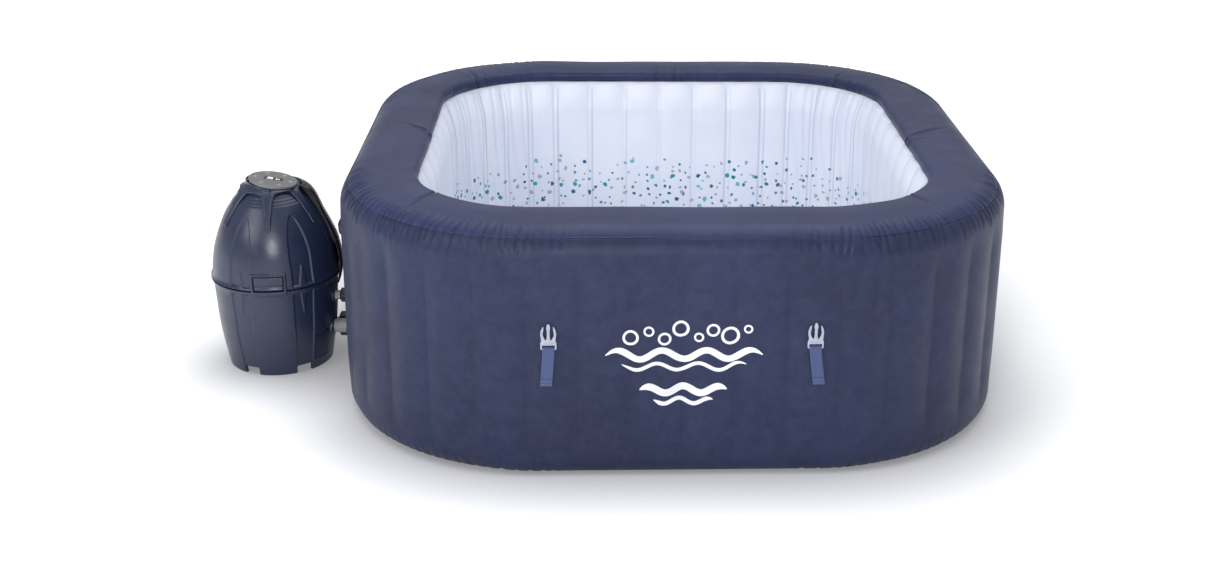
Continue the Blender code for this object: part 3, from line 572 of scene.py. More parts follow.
def folds(way, down, total, items):
    """Creases across a seam. Each item: place, where along the section, half-length, width, depth, slant."""
    value = np.zeros(np.broadcast(way, down).shape)
    for place, at, length, width, depth, slant in items:
        near = np.abs((way - place + total / 2) % total - total / 2) < 5 * width + abs(slant) * 2 * length
        columns = np.nonzero(near[0])[0]
        if not len(columns):
            continue
        across = (way[:, columns] - place + total / 2) % total - total / 2
        section = down if down.shape[1] == 1 else down[:, columns]
        x = (across - slant * (section - at)) / width
        value[:, columns] += -depth * hill(x) * np.exp(-((section - at) / length) ** 4)
    return value


TOTAL = 4 * quarter_length(HALF)


def round_corners(rng, margin, closest, furthest):
    """Unevenly spaced places round the corners and a margin beyond, each with how far it is into its corner."""
    for side in range(4):
        start = side * quarter_length(HALF) + CENTRE
        corner = (HALF - CENTRE) * math.pi / 2
        place = start - margin
        while place < start + corner + margin:
            yield place, min(place - start, start + corner - place)
            place += rng.uniform(closest, furthest)


def shoulder_folds():
    """Puckers where the rim is welded to the wall: long round the corners, short beyond them."""
    rng = random.Random(11)
    items = []
    for place, into in round_corners(rng, 0.20, 0.013, 0.030):
        strength = float(ease(np.array(into), -0.20, 0.12))
        items.append((place, rng.uniform(-0.012, 0.010), 0.018 + 0.030 * strength * rng.uniform(0.7, 1.2),
                      rng.uniform(0.0042, 0.0078), (0.0006 + 0.0026 * strength) * rng.uniform(0.45, 1.25),
                      rng.uniform(-0.22, 0.22)))
    return items


def foot_folds():
    """Small puckers where the wall is welded to the base sheet, round the corners only."""
    rng = random.Random(23)
    return [(place, 0.0, rng.uniform(0.022, 0.040), rng.uniform(0.006, 0.010),
             rng.uniform(0.0008, 0.0024), rng.uniform(-0.3, 0.3))
            for place, _ in round_corners(rng, 0.05, 0.020, 0.042)]


SHOULDER_ITEMS = shoulder_folds()
FOOT_ITEMS = foot_folds()


def close_sheet(h, z, nh, nz, thickness, keep=3):
    """Adds the sheet's back face behind its front rows, so that the piece is closed."""
    rows = h.shape[0]
    back = sorted(set(list(range(0, rows, keep)) + [rows - 1]), reverse=True)
    front = surface(h, z)
    behind = surface(h[back] - thickness * nh[back], z[back] - thickness * nz[back])
    return np.concatenate([front, behind]), back


def extended(values, back):
    return np.concatenate([values, values[back]])


# ---------------------------------------------------------------- tub sheets

FOOT_STRAIGHT = 0.046
FOOT_CORNER = 0.056
SEAM_ANGLE = 45.0


def foot_radius():
    return FOOT_STRAIGHT + (FOOT_CORNER - FOOT_STRAIGHT) * CORNER[None, :]


def wall_section():
    """The outer wall's front face: half-width, height, normal, and distance down from the shoulder seam."""
    foot = foot_radius()
    top = HEIGHT - SHOULDER_R
    rows = arc_rows(HALF - SHOULDER_R, top, SHOULDER_R, SEAM_ANGLE, 0, 15)
    rows += [(HALF, top + (foot - top) * t, 1.0, 0.0) for t in np.linspace(0, 1, 34)[1:]]
    rows += arc_rows(HALF - foot, foot, foot, 0, -SEAM_ANGLE, 12)[1:]
    h, z, nh, nz = spread(rows)
    return h, z, nh, nz, run_down(h, z)


def wall_swell(z):
    """How far the outer wall's panels swell between the webs, and a mask for the painted shade along the web
    lines.
    """
    gap, pitch = web_gap(HALF, WEB_PITCH["outer"])
    x = np.sqrt(gap ** 2 + 0.004 ** 2) / (pitch / 2)
    swell = 1 - np.abs(1 - np.clip(x, 0, 1)) ** 2.0
    height = ease(z, 0.045, 0.15) * (1 - ease(z, 0.50, 0.60))
    size = 0.0070 + 0.0030 * CORNER
    crest = 0.0015 + 0.0030 * CORNER
    line = np.exp(-(gap / 0.0035) ** 2) + 0.7 * np.exp(-((gap - 0.006) / 0.011) ** 2)
    return (size * (swell - 1) + crest) * height, line * height


def outer_wall():
    h, z, nh, nz, down = wall_section()
    way = way_round(HALF)[None, :]
    swell, line = wall_swell(z)
    pucker = folds(way, down, TOTAL, SHOULDER_ITEMS)
    foot_down = down.max(axis=0, keepdims=True) - down
    pucker += folds(way, foot_down, TOTAL, FOOT_ITEMS)
    roll = rolling(way, TOTAL, 5, 7, 0.0016) * (0.25 + 0.75 * CORNER) * np.ones_like(z)
    weld = -0.0010 * np.exp(-(down / 0.0022) ** 2)
    move = swell + pucker + roll + weld
    h, z = h + move * nh, z + move * nz
    Wall.keep(h, z)
    points, back = close_sheet(h, z, nh, nz, SHEET)
    # painted shade: darkest in the shoulder and foot puckers, softer in a band along each web line, and along
    # the shoulder seam
    crease = np.clip(-pucker / 0.0030, 0, 1) + 0.40 * line + 0.5 * np.exp(-(down / 0.0016) ** 2)
    made = grid_object("outer_wall_sheet", points, "wall", crease=extended(crease, back))
    return finish_piece(made, ROOT, "wall_sheet", "outer_wall")


RIM_CREASES = (
    # start, end, depth, width
    ((-0.691, -0.030), (-0.800, 0.070), 0.0060, 0.0080),
    ((-0.690, -0.052), (-0.760, 0.000), 0.0030, 0.0060),
    ((0.706, -0.070), (0.850, 0.025), 0.0062, 0.0085),
    ((0.690, -0.111), (0.770, -0.105), 0.0036, 0.0065),
    ((-0.580, 0.560), (-0.660, 0.730), 0.0048, 0.0080),
    ((-0.560, 0.585), (-0.600, 0.700), 0.0026, 0.0060),
    ((-0.630, -0.590), (-0.725, -0.790), 0.0046, 0.0085),
    ((0.600, -0.605), (0.665, -0.735), 0.0044, 0.0080),
    ((-0.012, 0.690), (-0.006, 0.800), 0.0030, 0.0050),
    ((0.018, 0.690), (0.022, 0.830), 0.0024, 0.0045),
    ((0.052, 0.690), (0.060, 0.860), 0.0036, 0.0050),
    ((0.074, 0.690), (0.082, 0.820), 0.0022, 0.0045),
    ((0.131, 0.690), (0.142, 0.810), 0.0028, 0.0050),
    ((0.560, 0.590), (0.640, 0.700), 0.0040, 0.0075),
)


def rim_creases(xy):
    value = np.zeros(xy.shape[:2])
    for start, end, depth, width in RIM_CREASES:
        a, b = np.array(start), np.array(end)
        length = np.linalg.norm(b - a)
        unit = (b - a) / length
        rel = xy - a
        t = (rel @ unit) / length
        across = rel @ np.array([-unit[1], unit[0]])
        fade = np.clip(1 - ease(t, 0.15, 1.0), 0, 1) * ease(t, -0.6, -0.1)
        spread = width * (1 + 0.8 * np.clip(t, 0, 1))
        value -= depth * hill(across / spread) * fade
    return value


BULGE_R, BULGE_HALF = 0.020, 0.712


def rim_sheet():
    """The top sheet: over the shoulder, flat across, and rolled in at the pool's edge."""
    flat_from = HALF - SHOULDER_R
    rows = arc_rows(flat_from, HEIGHT - SHOULDER_R, SHOULDER_R, SEAM_ANGLE, 90, 14)
    rows += [(flat_from + (BULGE_HALF - flat_from) * t, HEIGHT, 0.0, 1.0)
             for t in np.linspace(0, 1, 22)[1:-1]]
    rows += arc_rows(BULGE_HALF, HEIGHT - BULGE_R, BULGE_R, 90, 238, 16)
    h, z, nh, nz = spread(rows)
    down = -run_down(h[:, :1], z[:, :1])
    way = way_round(HALF)[None, :]
    xy = surface(h, z)[..., :2]
    across = (h - BULGE_HALF) / (flat_from - BULGE_HALF)
    crown = 0.0035 * np.sin(math.pi * np.clip(across, 0, 1))
    pucker = folds(way, down, TOTAL, SHOULDER_ITEMS)
    crease = rim_creases(xy)
    inner = inner_puckers(way, down - down.min())
    roll = rolling(way, TOTAL, 9, 7, 0.0022) * np.ones_like(z)
    weld = -0.0010 * np.exp(-(down / 0.0022) ** 2)
    move = crown + pucker + crease + inner + roll + weld
    h, z = h + move * nh, z + move * nz
    points, back = close_sheet(h, z, nh, nz, SHEET)
    # painted shade: darker in the puckers, the creases and the inner puckers, and along the shoulder seam
    dark = np.clip(-(pucker + crease + inner) / 0.0035, 0, 1) + 0.5 * np.exp(-(down / 0.0016) ** 2)
    made = grid_object("rim_top_sheet", points, "rim", crease=extended(dark, back))
    return finish_piece(made, ROOT, "rim_sheet", "rim_sheet")


def inner_puckers(way, up):
    """Short radial puckers at the rim's inner seam, most of them round the corners."""
    rng = random.Random(31)
    items = []
    for side in range(4):
        quarter = quarter_length(HALF)
        for _ in range(26):
            place = side * quarter + CENTRE + rng.uniform(-0.10, 0.94)
            items.append((place, 0.0, rng.uniform(0.018, 0.050), rng.uniform(0.006, 0.012),
                          rng.uniform(0.0003, 0.0016), rng.uniform(-0.2, 0.2)))
    return folds(way, up, TOTAL, items)


def liner_section():
    """The liner's pool-side face from the seam under the rim down to the floor."""
    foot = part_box("liner_wall")[0].z
    corners = ((0.7035, 0.6220), (0.6980, 0.6050), (0.6840, 0.5700), (0.6735, 0.5350), (LINER_HALF, 0.4950),
               (LINER_HALF, foot))
    h = np.array([c[0] for c in corners])
    z = np.array([c[1] for c in corners])
    levels = np.concatenate([np.linspace(z[0], z[4], 40), np.linspace(z[4], z[5], 34)[1:]])
    order = np.argsort(z)
    halves = np.interp(levels, z[order], h[order])
    kernel = np.ones(5) / 5
    halves = np.convolve(np.pad(halves, 2, mode="edge"), kernel, mode="valid")
    return halves, levels


def liner():
    halves, levels = liner_section()
    h = halves[:, None] * np.ones((1, COLUMNS))
    z = levels[:, None] * np.ones((1, COLUMNS))
    slope = np.gradient(halves, levels)[:, None]
    length = np.sqrt(1 + slope ** 2)
    nh, nz = -np.ones_like(h) / length, slope * np.ones_like(h) / length
    gap, pitch = web_gap(LINER_HALF, WEB_PITCH["inner"])
    apart = 0.007
    reach = np.abs(gap)
    panel = np.clip((reach - apart) / (pitch / 2 - apart), 0, 1)
    puff = (1 - (1 - panel) ** 2.2) * (reach > apart)
    top = ease(z, 0.50, 0.585) * (1 - ease(z, 0.607, 0.622))
    height = ease(z, 0.03, 0.10)
    swell = puff * (0.0040 * height + 0.0090 * top) * (0.6 + 0.4 * (1 - CORNER))
    lines = np.exp(-((reach - apart) / 0.0016) ** 2) * (1 - ease(z, 0.585, 0.612)) * ease(z, 0.02, 0.04)
    way = way_round(LINER_HALF)[None, :]
    total = 4 * quarter_length(LINER_HALF)
    pleats = CORNER[None, :] * (0.0010 * np.sin(way * 2 * math.pi / 0.034 + 3 * np.sin(z * 9))
                                + 0.0005 * np.sin(way * 2 * math.pi / 0.021 + 4 * np.sin(z * 7 + 1)))
    pleats = pleats * (0.35 + 0.65 * ease(z, 0.25, 0.60)) * (1 - ease(z, 0.61, 0.622))
    roll = rolling(way, total, 3, 6, 0.0012) * np.ones_like(z)
    move = swell - 0.0013 * lines + pleats + roll
    h, z = h + move * nh, z + move * nz
    points, back = close_sheet(h, z, nh, nz, SHEET)
    # painted shade along the weld lines and in the corner pleats
    crease = 0.85 * lines + np.clip(-pleats / 0.004, 0, 1)
    uv = np.stack([np.broadcast_to(way, z.shape), z], axis=-1)
    made = grid_object("liner_wall_sheet", points, "liner", uv=extended(uv, back),
                       crease=extended(crease, back))
    return finish_piece(made, ROOT, "liner_sheet", "liner_wall")


def disc_sheet(name, half, z_of, thickness, material, slot, node):
    """A flat sheet of the tub's plan with a soft relief, closed underneath."""
    shares = np.linspace(1.0, 0.004, 70)
    edge = surface(np.full((1, COLUMNS), half), np.zeros((1, COLUMNS)))[0][::3, :2]
    rows = [edge * share for share in shares]
    top = np.stack([np.concatenate([row, z_of(row)[:, None]], axis=1) for row in rows])
    under = top[::-1].copy()
    under[..., 2] = top[..., 2].min() - thickness
    points = np.concatenate([top, under])
    # V stays below the liner's lowest speck threshold, so the floor is printed all over
    made = grid_object(name, points, material, uv=points[..., :2] + np.array([5.0, -5.0]))
    return finish_piece(made, ROOT, slot, node)


FLOOR_RIDGE = 0.11


def pool_floor():
    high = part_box("pool_floor")[1]

    def relief(xy):
        ridge = np.prod(np.sin(xy[:, :2] * 2 * math.pi / FLOOR_RIDGE), axis=1)
        inside = ease(HALF - np.hypot(xy[:, 0], xy[:, 1]), 0.1, 0.3)
        return high.z - 0.0016 + 0.0014 * ridge * inside
    return disc_sheet("pool_floor_sheet", high.x, relief, 0.0045, "liner", "liner_sheet", "pool_floor")


WEB_LOW, WEB_HIGH = 0.062, 0.540
WEB_T = 0.0012
WEB_CLEAR = 0.0075
TAPE_HALF = 0.0065
TAPE_BEHIND = 0.0048


def welded_webs():
    """The thin webs between wall and liner: a strip at every seam, with a tape along its inner edge."""
    pieces = []
    halves, levels = liner_section()
    outer = web_places(HALF, WEB_PITCH["outer"])
    inner = web_places(LINER_HALF, WEB_PITCH["inner"])
    for out_place, in_place in zip(outer, inner):
        far, _ = plan_point(HALF, out_place, WEB_CLEAR)
        rows = []
        for z in np.linspace(WEB_LOW, WEB_HIGH, 18):
            slope = float(np.interp(z, levels[::-1], halves[::-1])) - LINER_HALF
            near, near_side = plan_point(LINER_HALF, in_place, -TAPE_BEHIND - slope)
            across = (far - near) / np.linalg.norm(far - near)
            side = np.array([-across[1], across[0]]) * WEB_T / 2
            tape = near_side * TAPE_HALF
            lip = near + across * WEB_T
            ring = [near - tape, near + tape, lip + tape, lip + side, far + side, far - side, lip - side,
                    lip - tape]
            rows.append([Vector((*p, z)) for p in ring])
        pieces.append(loft("web", rows, "web"))
    made = joined("welded_web_strips", pieces)
    return finish_piece(made, ROOT, "web_sheet", "web_frame")


def plan_point(half, place, inset):
    """A point of an outline, a distance round it from the middle of the +X wall and moved in; its tangent."""
    quarter = quarter_length(half)
    side, along = divmod(place + CENTRE, quarter)
    along -= CENTRE
    turn = max(0.0, (along - CENTRE) / (half - CENTRE))
    angle = side * math.pi / 2 + turn
    normal = np.array([math.cos(angle), math.sin(angle)])
    tangent = np.array([-normal[1], normal[0]])
    start = side_turn(side) @ np.array([CENTRE, min(along, CENTRE)])
    return start + normal * (half - CENTRE - inset), tangent


def base_sheet():
    """The ground sheet: the rolled lower edge and the flat underside."""
    foot = foot_radius()
    rows = arc_rows(HALF - foot, foot, foot, -SEAM_ANGLE, -90, 12)
    rows += [(CENTRE + (HALF - foot - CENTRE) * share, 0.0, 0.0, -1.0) for share in (0.9, 0.6, 0.3, 0.02)]
    h, z, nh, nz = spread(rows)
    way = way_round(HALF)[None, :]
    pucker = folds(way, -run_down(h, z), TOTAL, FOOT_ITEMS) * (nz > -0.999)
    h = h + pucker * nh
    z = np.maximum(z + pucker * nz, 0.0)
    points = surface(h, z)
    shrink = [points[-1:] * np.array([share, share, 1.0]) for share in (0.6, 0.3, 0.01)]
    under = np.concatenate([points, *shrink])
    top = under[::-1].copy()
    top[..., 2] += SHEET
    made = grid_object("base_ground_sheet", np.concatenate([under, top]), "wall")
    return finish_piece(made, ROOT, "wall_sheet", "base_sheet")


DUCT_HALF, DUCT_WIDE, DUCT_HIGH = 0.633, 0.062, 0.020
BUBBLE_PITCH = 0.028


def bubble_duct():
    """A puffed air channel round the floor, pinched at its welds, with a row of bubble holes."""
    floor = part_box("air_bubble_duct")[0].z
    h, z = spread([(DUCT_HALF + DUCT_WIDE / 2 * math.cos(a), floor + DUCT_HIGH * math.sin(a) ** 0.8)
                   for a in np.linspace(0, math.pi, 15)])
    gap, _ = web_gap(0.63, 0.112)
    pinch = np.exp(-(gap / 0.006) ** 2)
    z = floor + (z - floor) * (1 - 0.28 * pinch[None, :])
    points = surface(h, z)
    # painted shade at the pinched welds
    made = grid_object("bubble_duct_channel", points, "duct", crease=0.4 * pinch[None, :] * np.ones_like(z))
    finish_piece(made, ROOT, "duct_sheet", "air_bubble_duct")
    riser(floor)
    bubble_holes(floor + DUCT_HIGH + 0.0005)


def riser(floor):
    """The flat channel that brings air down the liner to the duct."""
    x = -LINER_HALF + 0.004
    path = [(-0.150, 0.205), (-0.235, 0.205), (-0.262, 0.192), (-0.268, 0.165), (-0.268, floor + 0.012)]
    path = smooth_path([Vector((x, y, z)) for y, z in path], 8)
    made = flat_tube("duct_riser", path, Vector((1, 0, 0)), 0.021, 0.006, "duct")
    return finish_piece(made, ROOT, "duct_sheet")


def smooth_path(points, steps):
    """A smooth line through the points, with a number of steps between each two."""
    result = []
    padded = [points[0], *points, points[-1]]
    for i in range(1, len(padded) - 2):
        a, b, c, d = padded[i - 1:i + 3]
        for k in range(steps):
            t = k / steps
            result.append(0.5 * (2 * b + (c - a) * t + (2 * a - 5 * b + 4 * c - d) * t * t
                                 + (3 * b - a - 3 * c + d) * t ** 3))
    result.append(points[-1].copy())
    return result


def flat_tube(name, path, thin, half_width, half_depth, material, sides=16):
    """A rounded flat tube along a path, with closed ends."""
    rows = []
    for i, p in enumerate(path):
        along = (path[min(i + 1, len(path) - 1)] - path[max(i - 1, 0)]).normalized()
        wide = along.cross(thin).normalized()
        deep = wide.cross(along).normalized()
        ring = []
        for k in range(sides):
            a = 2 * math.pi * k / sides
            c, s = math.cos(a), math.sin(a)
            ring.append(p + wide * half_width * math.copysign(abs(c) ** 0.7, c)
                        + deep * half_depth * math.copysign(abs(s) ** 0.9, s))
        rows.append(ring)
    return loft(name, rows, material)


def loft(name, rows, material, smooth=True):
    """A closed body through rings of equal length, with its two ends filled."""
    count = len(rows[0])
    verts = [tuple(p) for row in rows for p in row]
    faces = [tuple(f) for f in grid_faces(len(rows), count, False, True)]
    faces.append(tuple(range(count)))
    faces.append(tuple(range(len(verts) - 1, len(verts) - count - 1, -1)))
    made = mesh_object(name, verts, faces, material, smooth)
    recalculated(made)
    return made


def recalculated(made):
    work = bmesh.new()
    work.from_mesh(made.data)
    bmesh.ops.recalc_face_normals(work, faces=work.faces)
    work.to_mesh(made.data)
    work.free()


def bubble_holes(z):
    """Small eyelets in a row along the top of the duct."""
    way = way_round(DUCT_HALF)
    places = []
    for place in np.arange(0, 4 * quarter_length(DUCT_HALF), BUBBLE_PITCH):
        column = int(np.abs(way - place).argmin())
        xy = START[column] + (DUCT_HALF - CENTRE) * NORMAL[column]
        places.append(Vector((*xy, z - 0.0008)))
    made = eyelets("bubble_holes", places, 0.0022, 0.0007, "black")
    return finish_piece(made, ROOT, "fitting_plastic")


def eyelets(name, places, radius, thick, material, around=12, tube=6):
    """Many small level rings in one mesh."""
    verts, faces = [], []
    for centre in places:
        base = len(verts)
        for i in range(around):
            a = 2 * math.pi * i / around
            for j in range(tube):
                b = 2 * math.pi * j / tube
                r = radius + thick * math.cos(b)
                verts.append(centre + Vector((r * math.cos(a), r * math.sin(a), thick * math.sin(b))))
        faces += [tuple(base + int(v) for v in face) for face in grid_faces(around, tube, True, True)]
    made = mesh_object(name, verts, faces, material)
    recalculated(made)
    return made


# ---------------------------------------------------------------- small-part helpers

def filleted(points, radius, closed=True, steps=4):
    """A 2D outline with its corners rounded."""
    count = len(points)
    result = []
    for i, point in enumerate(points):
        b = Vector(point)
        if not closed and i in (0, count - 1):
            result.append(tuple(b))
            continue
        a, c = Vector(points[i - 1]), Vector(points[(i + 1) % count])
        reach = min(radius, 0.45 * (a - b).length, 0.45 * (c - b).length)
        p, q = b + (a - b).normalized() * reach, b + (c - b).normalized() * reach
        for k in range(steps + 1):
            t = k / steps
            result.append(tuple(p * (1 - t) ** 2 + b * 2 * t * (1 - t) + q * t * t))
    return result


def sharpened(made, angle=38.0):
    """Smooth shading, with edges over an angle in degrees left sharp."""
    made.data.shade_smooth()
    made.data.set_sharp_from_angle(angle=math.radians(angle))
    return made


def lathe(name, profile, material, centre=(0, 0, 0), axis=(0, 0, 1), segments=96, fillet=0.0, ribs=None,
          closed=True):
    """A turned body. An open profile starts and ends on the axis. Ribs are (count, depth, from radius)."""
    if fillet:
        profile = filleted(profile, fillet, closed)
    turn = np.array(Vector(axis).to_track_quat("Z", "Y").to_matrix())
    angles = np.linspace(0, 2 * math.pi, segments, endpoint=False)
    rows = []
    for r, z in profile:
        radius = np.full(segments, float(r))
        if ribs and r >= ribs[2]:
            radius = radius + ribs[1] * np.clip(1.8 * np.sin(ribs[0] * angles), -1, 1)
        rows.append(np.stack([radius * np.cos(angles), radius * np.sin(angles), np.full(segments, float(z))],
                             -1))
    points = np.array(rows) @ turn.T + np.array(centre)
    made = mesh_object(name, points.reshape(-1, 3), grid_faces(len(rows), segments, closed, True), material)
    welded(made)
    return sharpened(made)


def welded(made, distance=1e-6):
    work = bmesh.new()
    work.from_mesh(made.data)
    bmesh.ops.remove_doubles(work, verts=work.verts, dist=distance)
    bmesh.ops.dissolve_degenerate(work, edges=work.edges, dist=distance)
    bmesh.ops.recalc_face_normals(work, faces=work.faces)
    work.to_mesh(made.data)
    work.free()


def plate(name, outlines, depth, bevel, material, matrix):
    """A flat outline with holes, thickened about its own plane, with rounded edges."""
    curve = bpy.data.curves.new(name, "CURVE")
    curve.dimensions = "2D"
    curve.fill_mode = "BOTH"
    curve.extrude = depth / 2 - bevel
    curve.bevel_depth = bevel
    curve.bevel_resolution = 2
    curve.offset = -bevel
    for outline in outlines:
        spline = curve.splines.new("POLY")
        spline.points.add(len(outline) - 1)
        for point, (x, y) in zip(spline.points, outline):
            point.co = (x, y, 0, 1)
        spline.use_cyclic_u = True
    guide = bpy.data.objects.new(name, curve)
    scene.collection.objects.link(guide)
    mesh = bpy.data.meshes.new_from_object(guide.evaluated_get(bpy.context.evaluated_depsgraph_get()))
    bpy.data.objects.remove(guide, do_unlink=True)
    mesh.transform(matrix)
    mesh.materials.clear()
    mesh.materials.append(M[material])
    made = bpy.data.objects.new(name, mesh)
    scene.collection.objects.link(made)
    welded(made)
    return sharpened(made)


def joined(name, pieces):
    """Several separate bodies as one piece."""
    work = bmesh.new()
    for piece in pieces:
        work.from_mesh(piece.data)
    mesh = bpy.data.meshes.new(name)
    work.to_mesh(mesh)
    work.free()
    mesh.materials.append(pieces[0].data.materials[0])
    made = bpy.data.objects.new(name, mesh)
    scene.collection.objects.link(made)
    for piece in pieces:
        bpy.data.objects.remove(piece, do_unlink=True)
    return sharpened(made)


def cut(made, cutters, operation="DIFFERENCE"):
    """Applies booleans and removes the cutters."""
    for cutter in cutters:
        change = made.modifiers.new("cut", "BOOLEAN")
        change.operation = operation
        change.solver = "EXACT"
        change.object = cutter
    mesh = bpy.data.meshes.new_from_object(made.evaluated_get(bpy.context.evaluated_depsgraph_get()))
    made.modifiers.clear()
    made.data = mesh
    for cutter in cutters:
        bpy.data.objects.remove(cutter, do_unlink=True)
    return sharpened(made)


def circle(radius, count):
    return [(radius * math.cos(2 * math.pi * k / count), radius * math.sin(2 * math.pi * k / count))
            for k in range(count)]


def rectangle(half_width, half_height, y=0.0):
    """A four-cornered outline, its middle a height above the origin."""
    low, high = y - half_height, y + half_height
    return [(-half_width, low), (half_width, low), (half_width, high), (-half_width, high)]


def rounding(near, radius):
    """How far a surface falls away near its rounded edge."""
    return radius * (1 - np.sqrt(1 - (1 - np.clip(near / radius, 0, 1)) ** 2))


def tube_along(name, path, radius, material, segments=40):
    rows = []
    for i, p in enumerate(path):
        along = (path[min(i + 1, len(path) - 1)] - path[max(i - 1, 0)]).normalized()
        side = along.orthogonal().normalized() if i == 0 else (side - along * side.dot(along)).normalized()
        other = along.cross(side)
        rows.append([p + radius * (math.cos(a) * side + math.sin(a) * other)
                     for a in (2 * math.pi * k / segments for k in range(segments))])
    return sharpened(loft(name, rows, material))


# ---------------------------------------------------------------- front wall lookup and its print

class Wall:
    """Where the swollen -Y wall's surface is, read back from the wall sheet's own grid."""
    grid = None

    @classmethod
    def keep(cls, h, z):
        columns = np.nonzero((SIDE == 3) & (ANGLE == 0))[0]
        order = columns[np.argsort(ALONG[columns])]
        cls.grid = ALONG[order], z[:, order], h[:, order]

    @classmethod
    def out(cls, x, level):
        xs, zs, hs = cls.grid
        at = np.clip(np.interp(x, xs, np.arange(len(xs))), 0, len(xs) - 1.001)
        low = int(at)
        near, far = (np.interp(-level, -zs[:, c], hs[:, c]) for c in (low, low + 1))
        return near + (far - near) * (at - low)


PRINT_PROUD = 0.0006
PRINT_SUNK = 0.0005
RIPPLE_TIP = 0.10


def print_ring(places):
    """A section across a print: its proud face, then its hidden face the other way."""
    line = [(x, Wall.out(x, z), z) for x, z in places]
    return ([(x, -out - PRINT_PROUD, z) for x, out, z in line]
            + [(x, -out + PRINT_SUNK, z) for x, out, z in reversed(line)])


def print_strip(name, centre_line, half_width, steps, across):
    """A printed band on the front wall. centre_line(t) gives (x, z) and half_width(t) its half-width."""
    rings = []
    for t in np.linspace(0, 1, steps):
        x, z = centre_line(t)
        ahead, behind = centre_line(t + 0.002), centre_line(t - 0.002)
        along = Vector((ahead[0] - behind[0], ahead[1] - behind[1])).normalized()
        side = Vector((-along.y, along.x)) * half_width(t)
        rings.append(print_ring([(x + side.x * share, z + side.y * share)
                                 for share in np.linspace(-1, 1, across)]))
    return loft(name, rings, "print")


def bubble_print(name, x, z, radius, line):
    """A printed ring, closed on itself."""
    rings = []
    for a in np.linspace(0, 2 * math.pi, 72, endpoint=False):
        rings.append(print_ring([(x + r * math.cos(a), z + r * math.sin(a))
                                 for r in radius + line * np.linspace(-1, 1, 5)]))
    faces = grid_faces(len(rings), len(rings[0]), True, True)
    made = mesh_object(name, [p for ring in rings for p in ring], faces, "print")
    recalculated(made)
    return sharpened(made)


def wave(start, end, level, rise, crests, phase=0.0):
    """A ripple's middle line, as a place (x, z) for a share of its length."""
    return lambda t: (start + (end - start) * t, level + rise * math.sin(2 * math.pi * (crests * t + phase)))


def tapered(width):
    """A ripple's half-width for a share of its length: full along the middle, fine at the tips."""
    def half_width(t):
        full = math.sin(math.pi * min(max(t, 0.0), 1.0)) / math.sin(math.pi * RIPPLE_TIP)
        return width * max(0.06, min(1.0, full)) ** 0.6
    return half_width


def wall_motif():
    """A plain pattern of ripples under a drift of bubbles, in the place of the printed lettering."""
    ripples = [print_strip("ripple", wave(-0.190, 0.200, 0.338, 0.0125, 3.5), tapered(0.0085), 220, 7),
               print_strip("ripple", wave(-0.150, 0.160, 0.306, 0.0095, 3.0, 0.4), tapered(0.0048), 180, 5),
               print_strip("ripple", wave(-0.105, 0.113, 0.243, 0.0085, 2.5), tapered(0.0095), 140, 7),
               print_strip("ripple", wave(-0.070, 0.078, 0.212, 0.0070, 2.0, 0.4), tapered(0.0055), 110, 5)]
    made = joined("wall_motif_ripples", ripples)
    finish_piece(made, ROOT, "liner_sheet")
    bubbles = ((-0.128, 0.383, 0.017, 0.0032), (-0.083, 0.401, 0.011, 0.0026),
               (-0.044, 0.381, 0.014, 0.0030),
               (-0.004, 0.407, 0.018, 0.0034), (0.041, 0.385, 0.010, 0.0025), (0.076, 0.404, 0.014, 0.0030),
               (0.119, 0.388, 0.020, 0.0036), (0.163, 0.406, 0.009, 0.0024))
    made = joined("wall_motif_bubbles", [bubble_print("bubble", *item) for item in bubbles])
    finish_piece(made, ROOT, "liner_sheet")


# ---------------------------------------------------------------- straps and buckles

STRAP_OFFSET = 0.330
STRAP_WIDTH = 0.030
STRAP_T = 0.0012
STRAP_FOOT = 0.266
TAIL_END = 0.258
PATCH_Z = 0.270
BAR_Z = 0.3585
BAR_OUT = 0.0068
LOOP_R = 0.0046
BUCKLE_WIDTH = 0.040
BUCKLE_TOP = 0.425
BUCKLE_DEPTH = 0.006
TAIL_LEAN = (-0.007, 0.013, 0.005, -0.006, 0.008, -0.004, -0.010, 0.006)


def wall_frame(side, shift):
    """Local axes of a wall: x across it, y up, z outwards, from the floor under the strap."""
    spin = Matrix.Rotation(math.pi / 2 * side, 4, "Z")
    return spin @ Matrix.Translation((shift, -HALF, 0)) @ Matrix.Rotation(math.pi / 2, 4, "X")


def strap_line(lean):
    """Middle of the webbing as (up, out, across), from its weld up over the bar and down the tail."""
    points = [(STRAP_FOOT, 0.0024, 0.92 * lean), (0.300, 0.0024, 0.58 * lean), (0.340, 0.0022, 0.16 * lean),
              (BAR_Z - 0.003, BAR_OUT - LOOP_R, 0.0)]
    for a in range(165, -1, -15):
        t = math.radians(a)
        points.append((BAR_Z + LOOP_R * math.sin(t), BAR_OUT + LOOP_R * math.cos(t), 0.0))
    points += [(BAR_Z - 0.012, BAR_OUT + 0.0042, 0.06 * lean),
               (BAR_Z - 0.035, BAR_OUT + 0.0030, 0.28 * lean),
               (0.295, BAR_OUT + 0.0022, 0.62 * lean), (0.272, BAR_OUT + 0.0004, 0.86 * lean),
               (TAIL_END, BAR_OUT - 0.0008, lean)]
    return smooth_path([Vector(p) for p in points], 4)


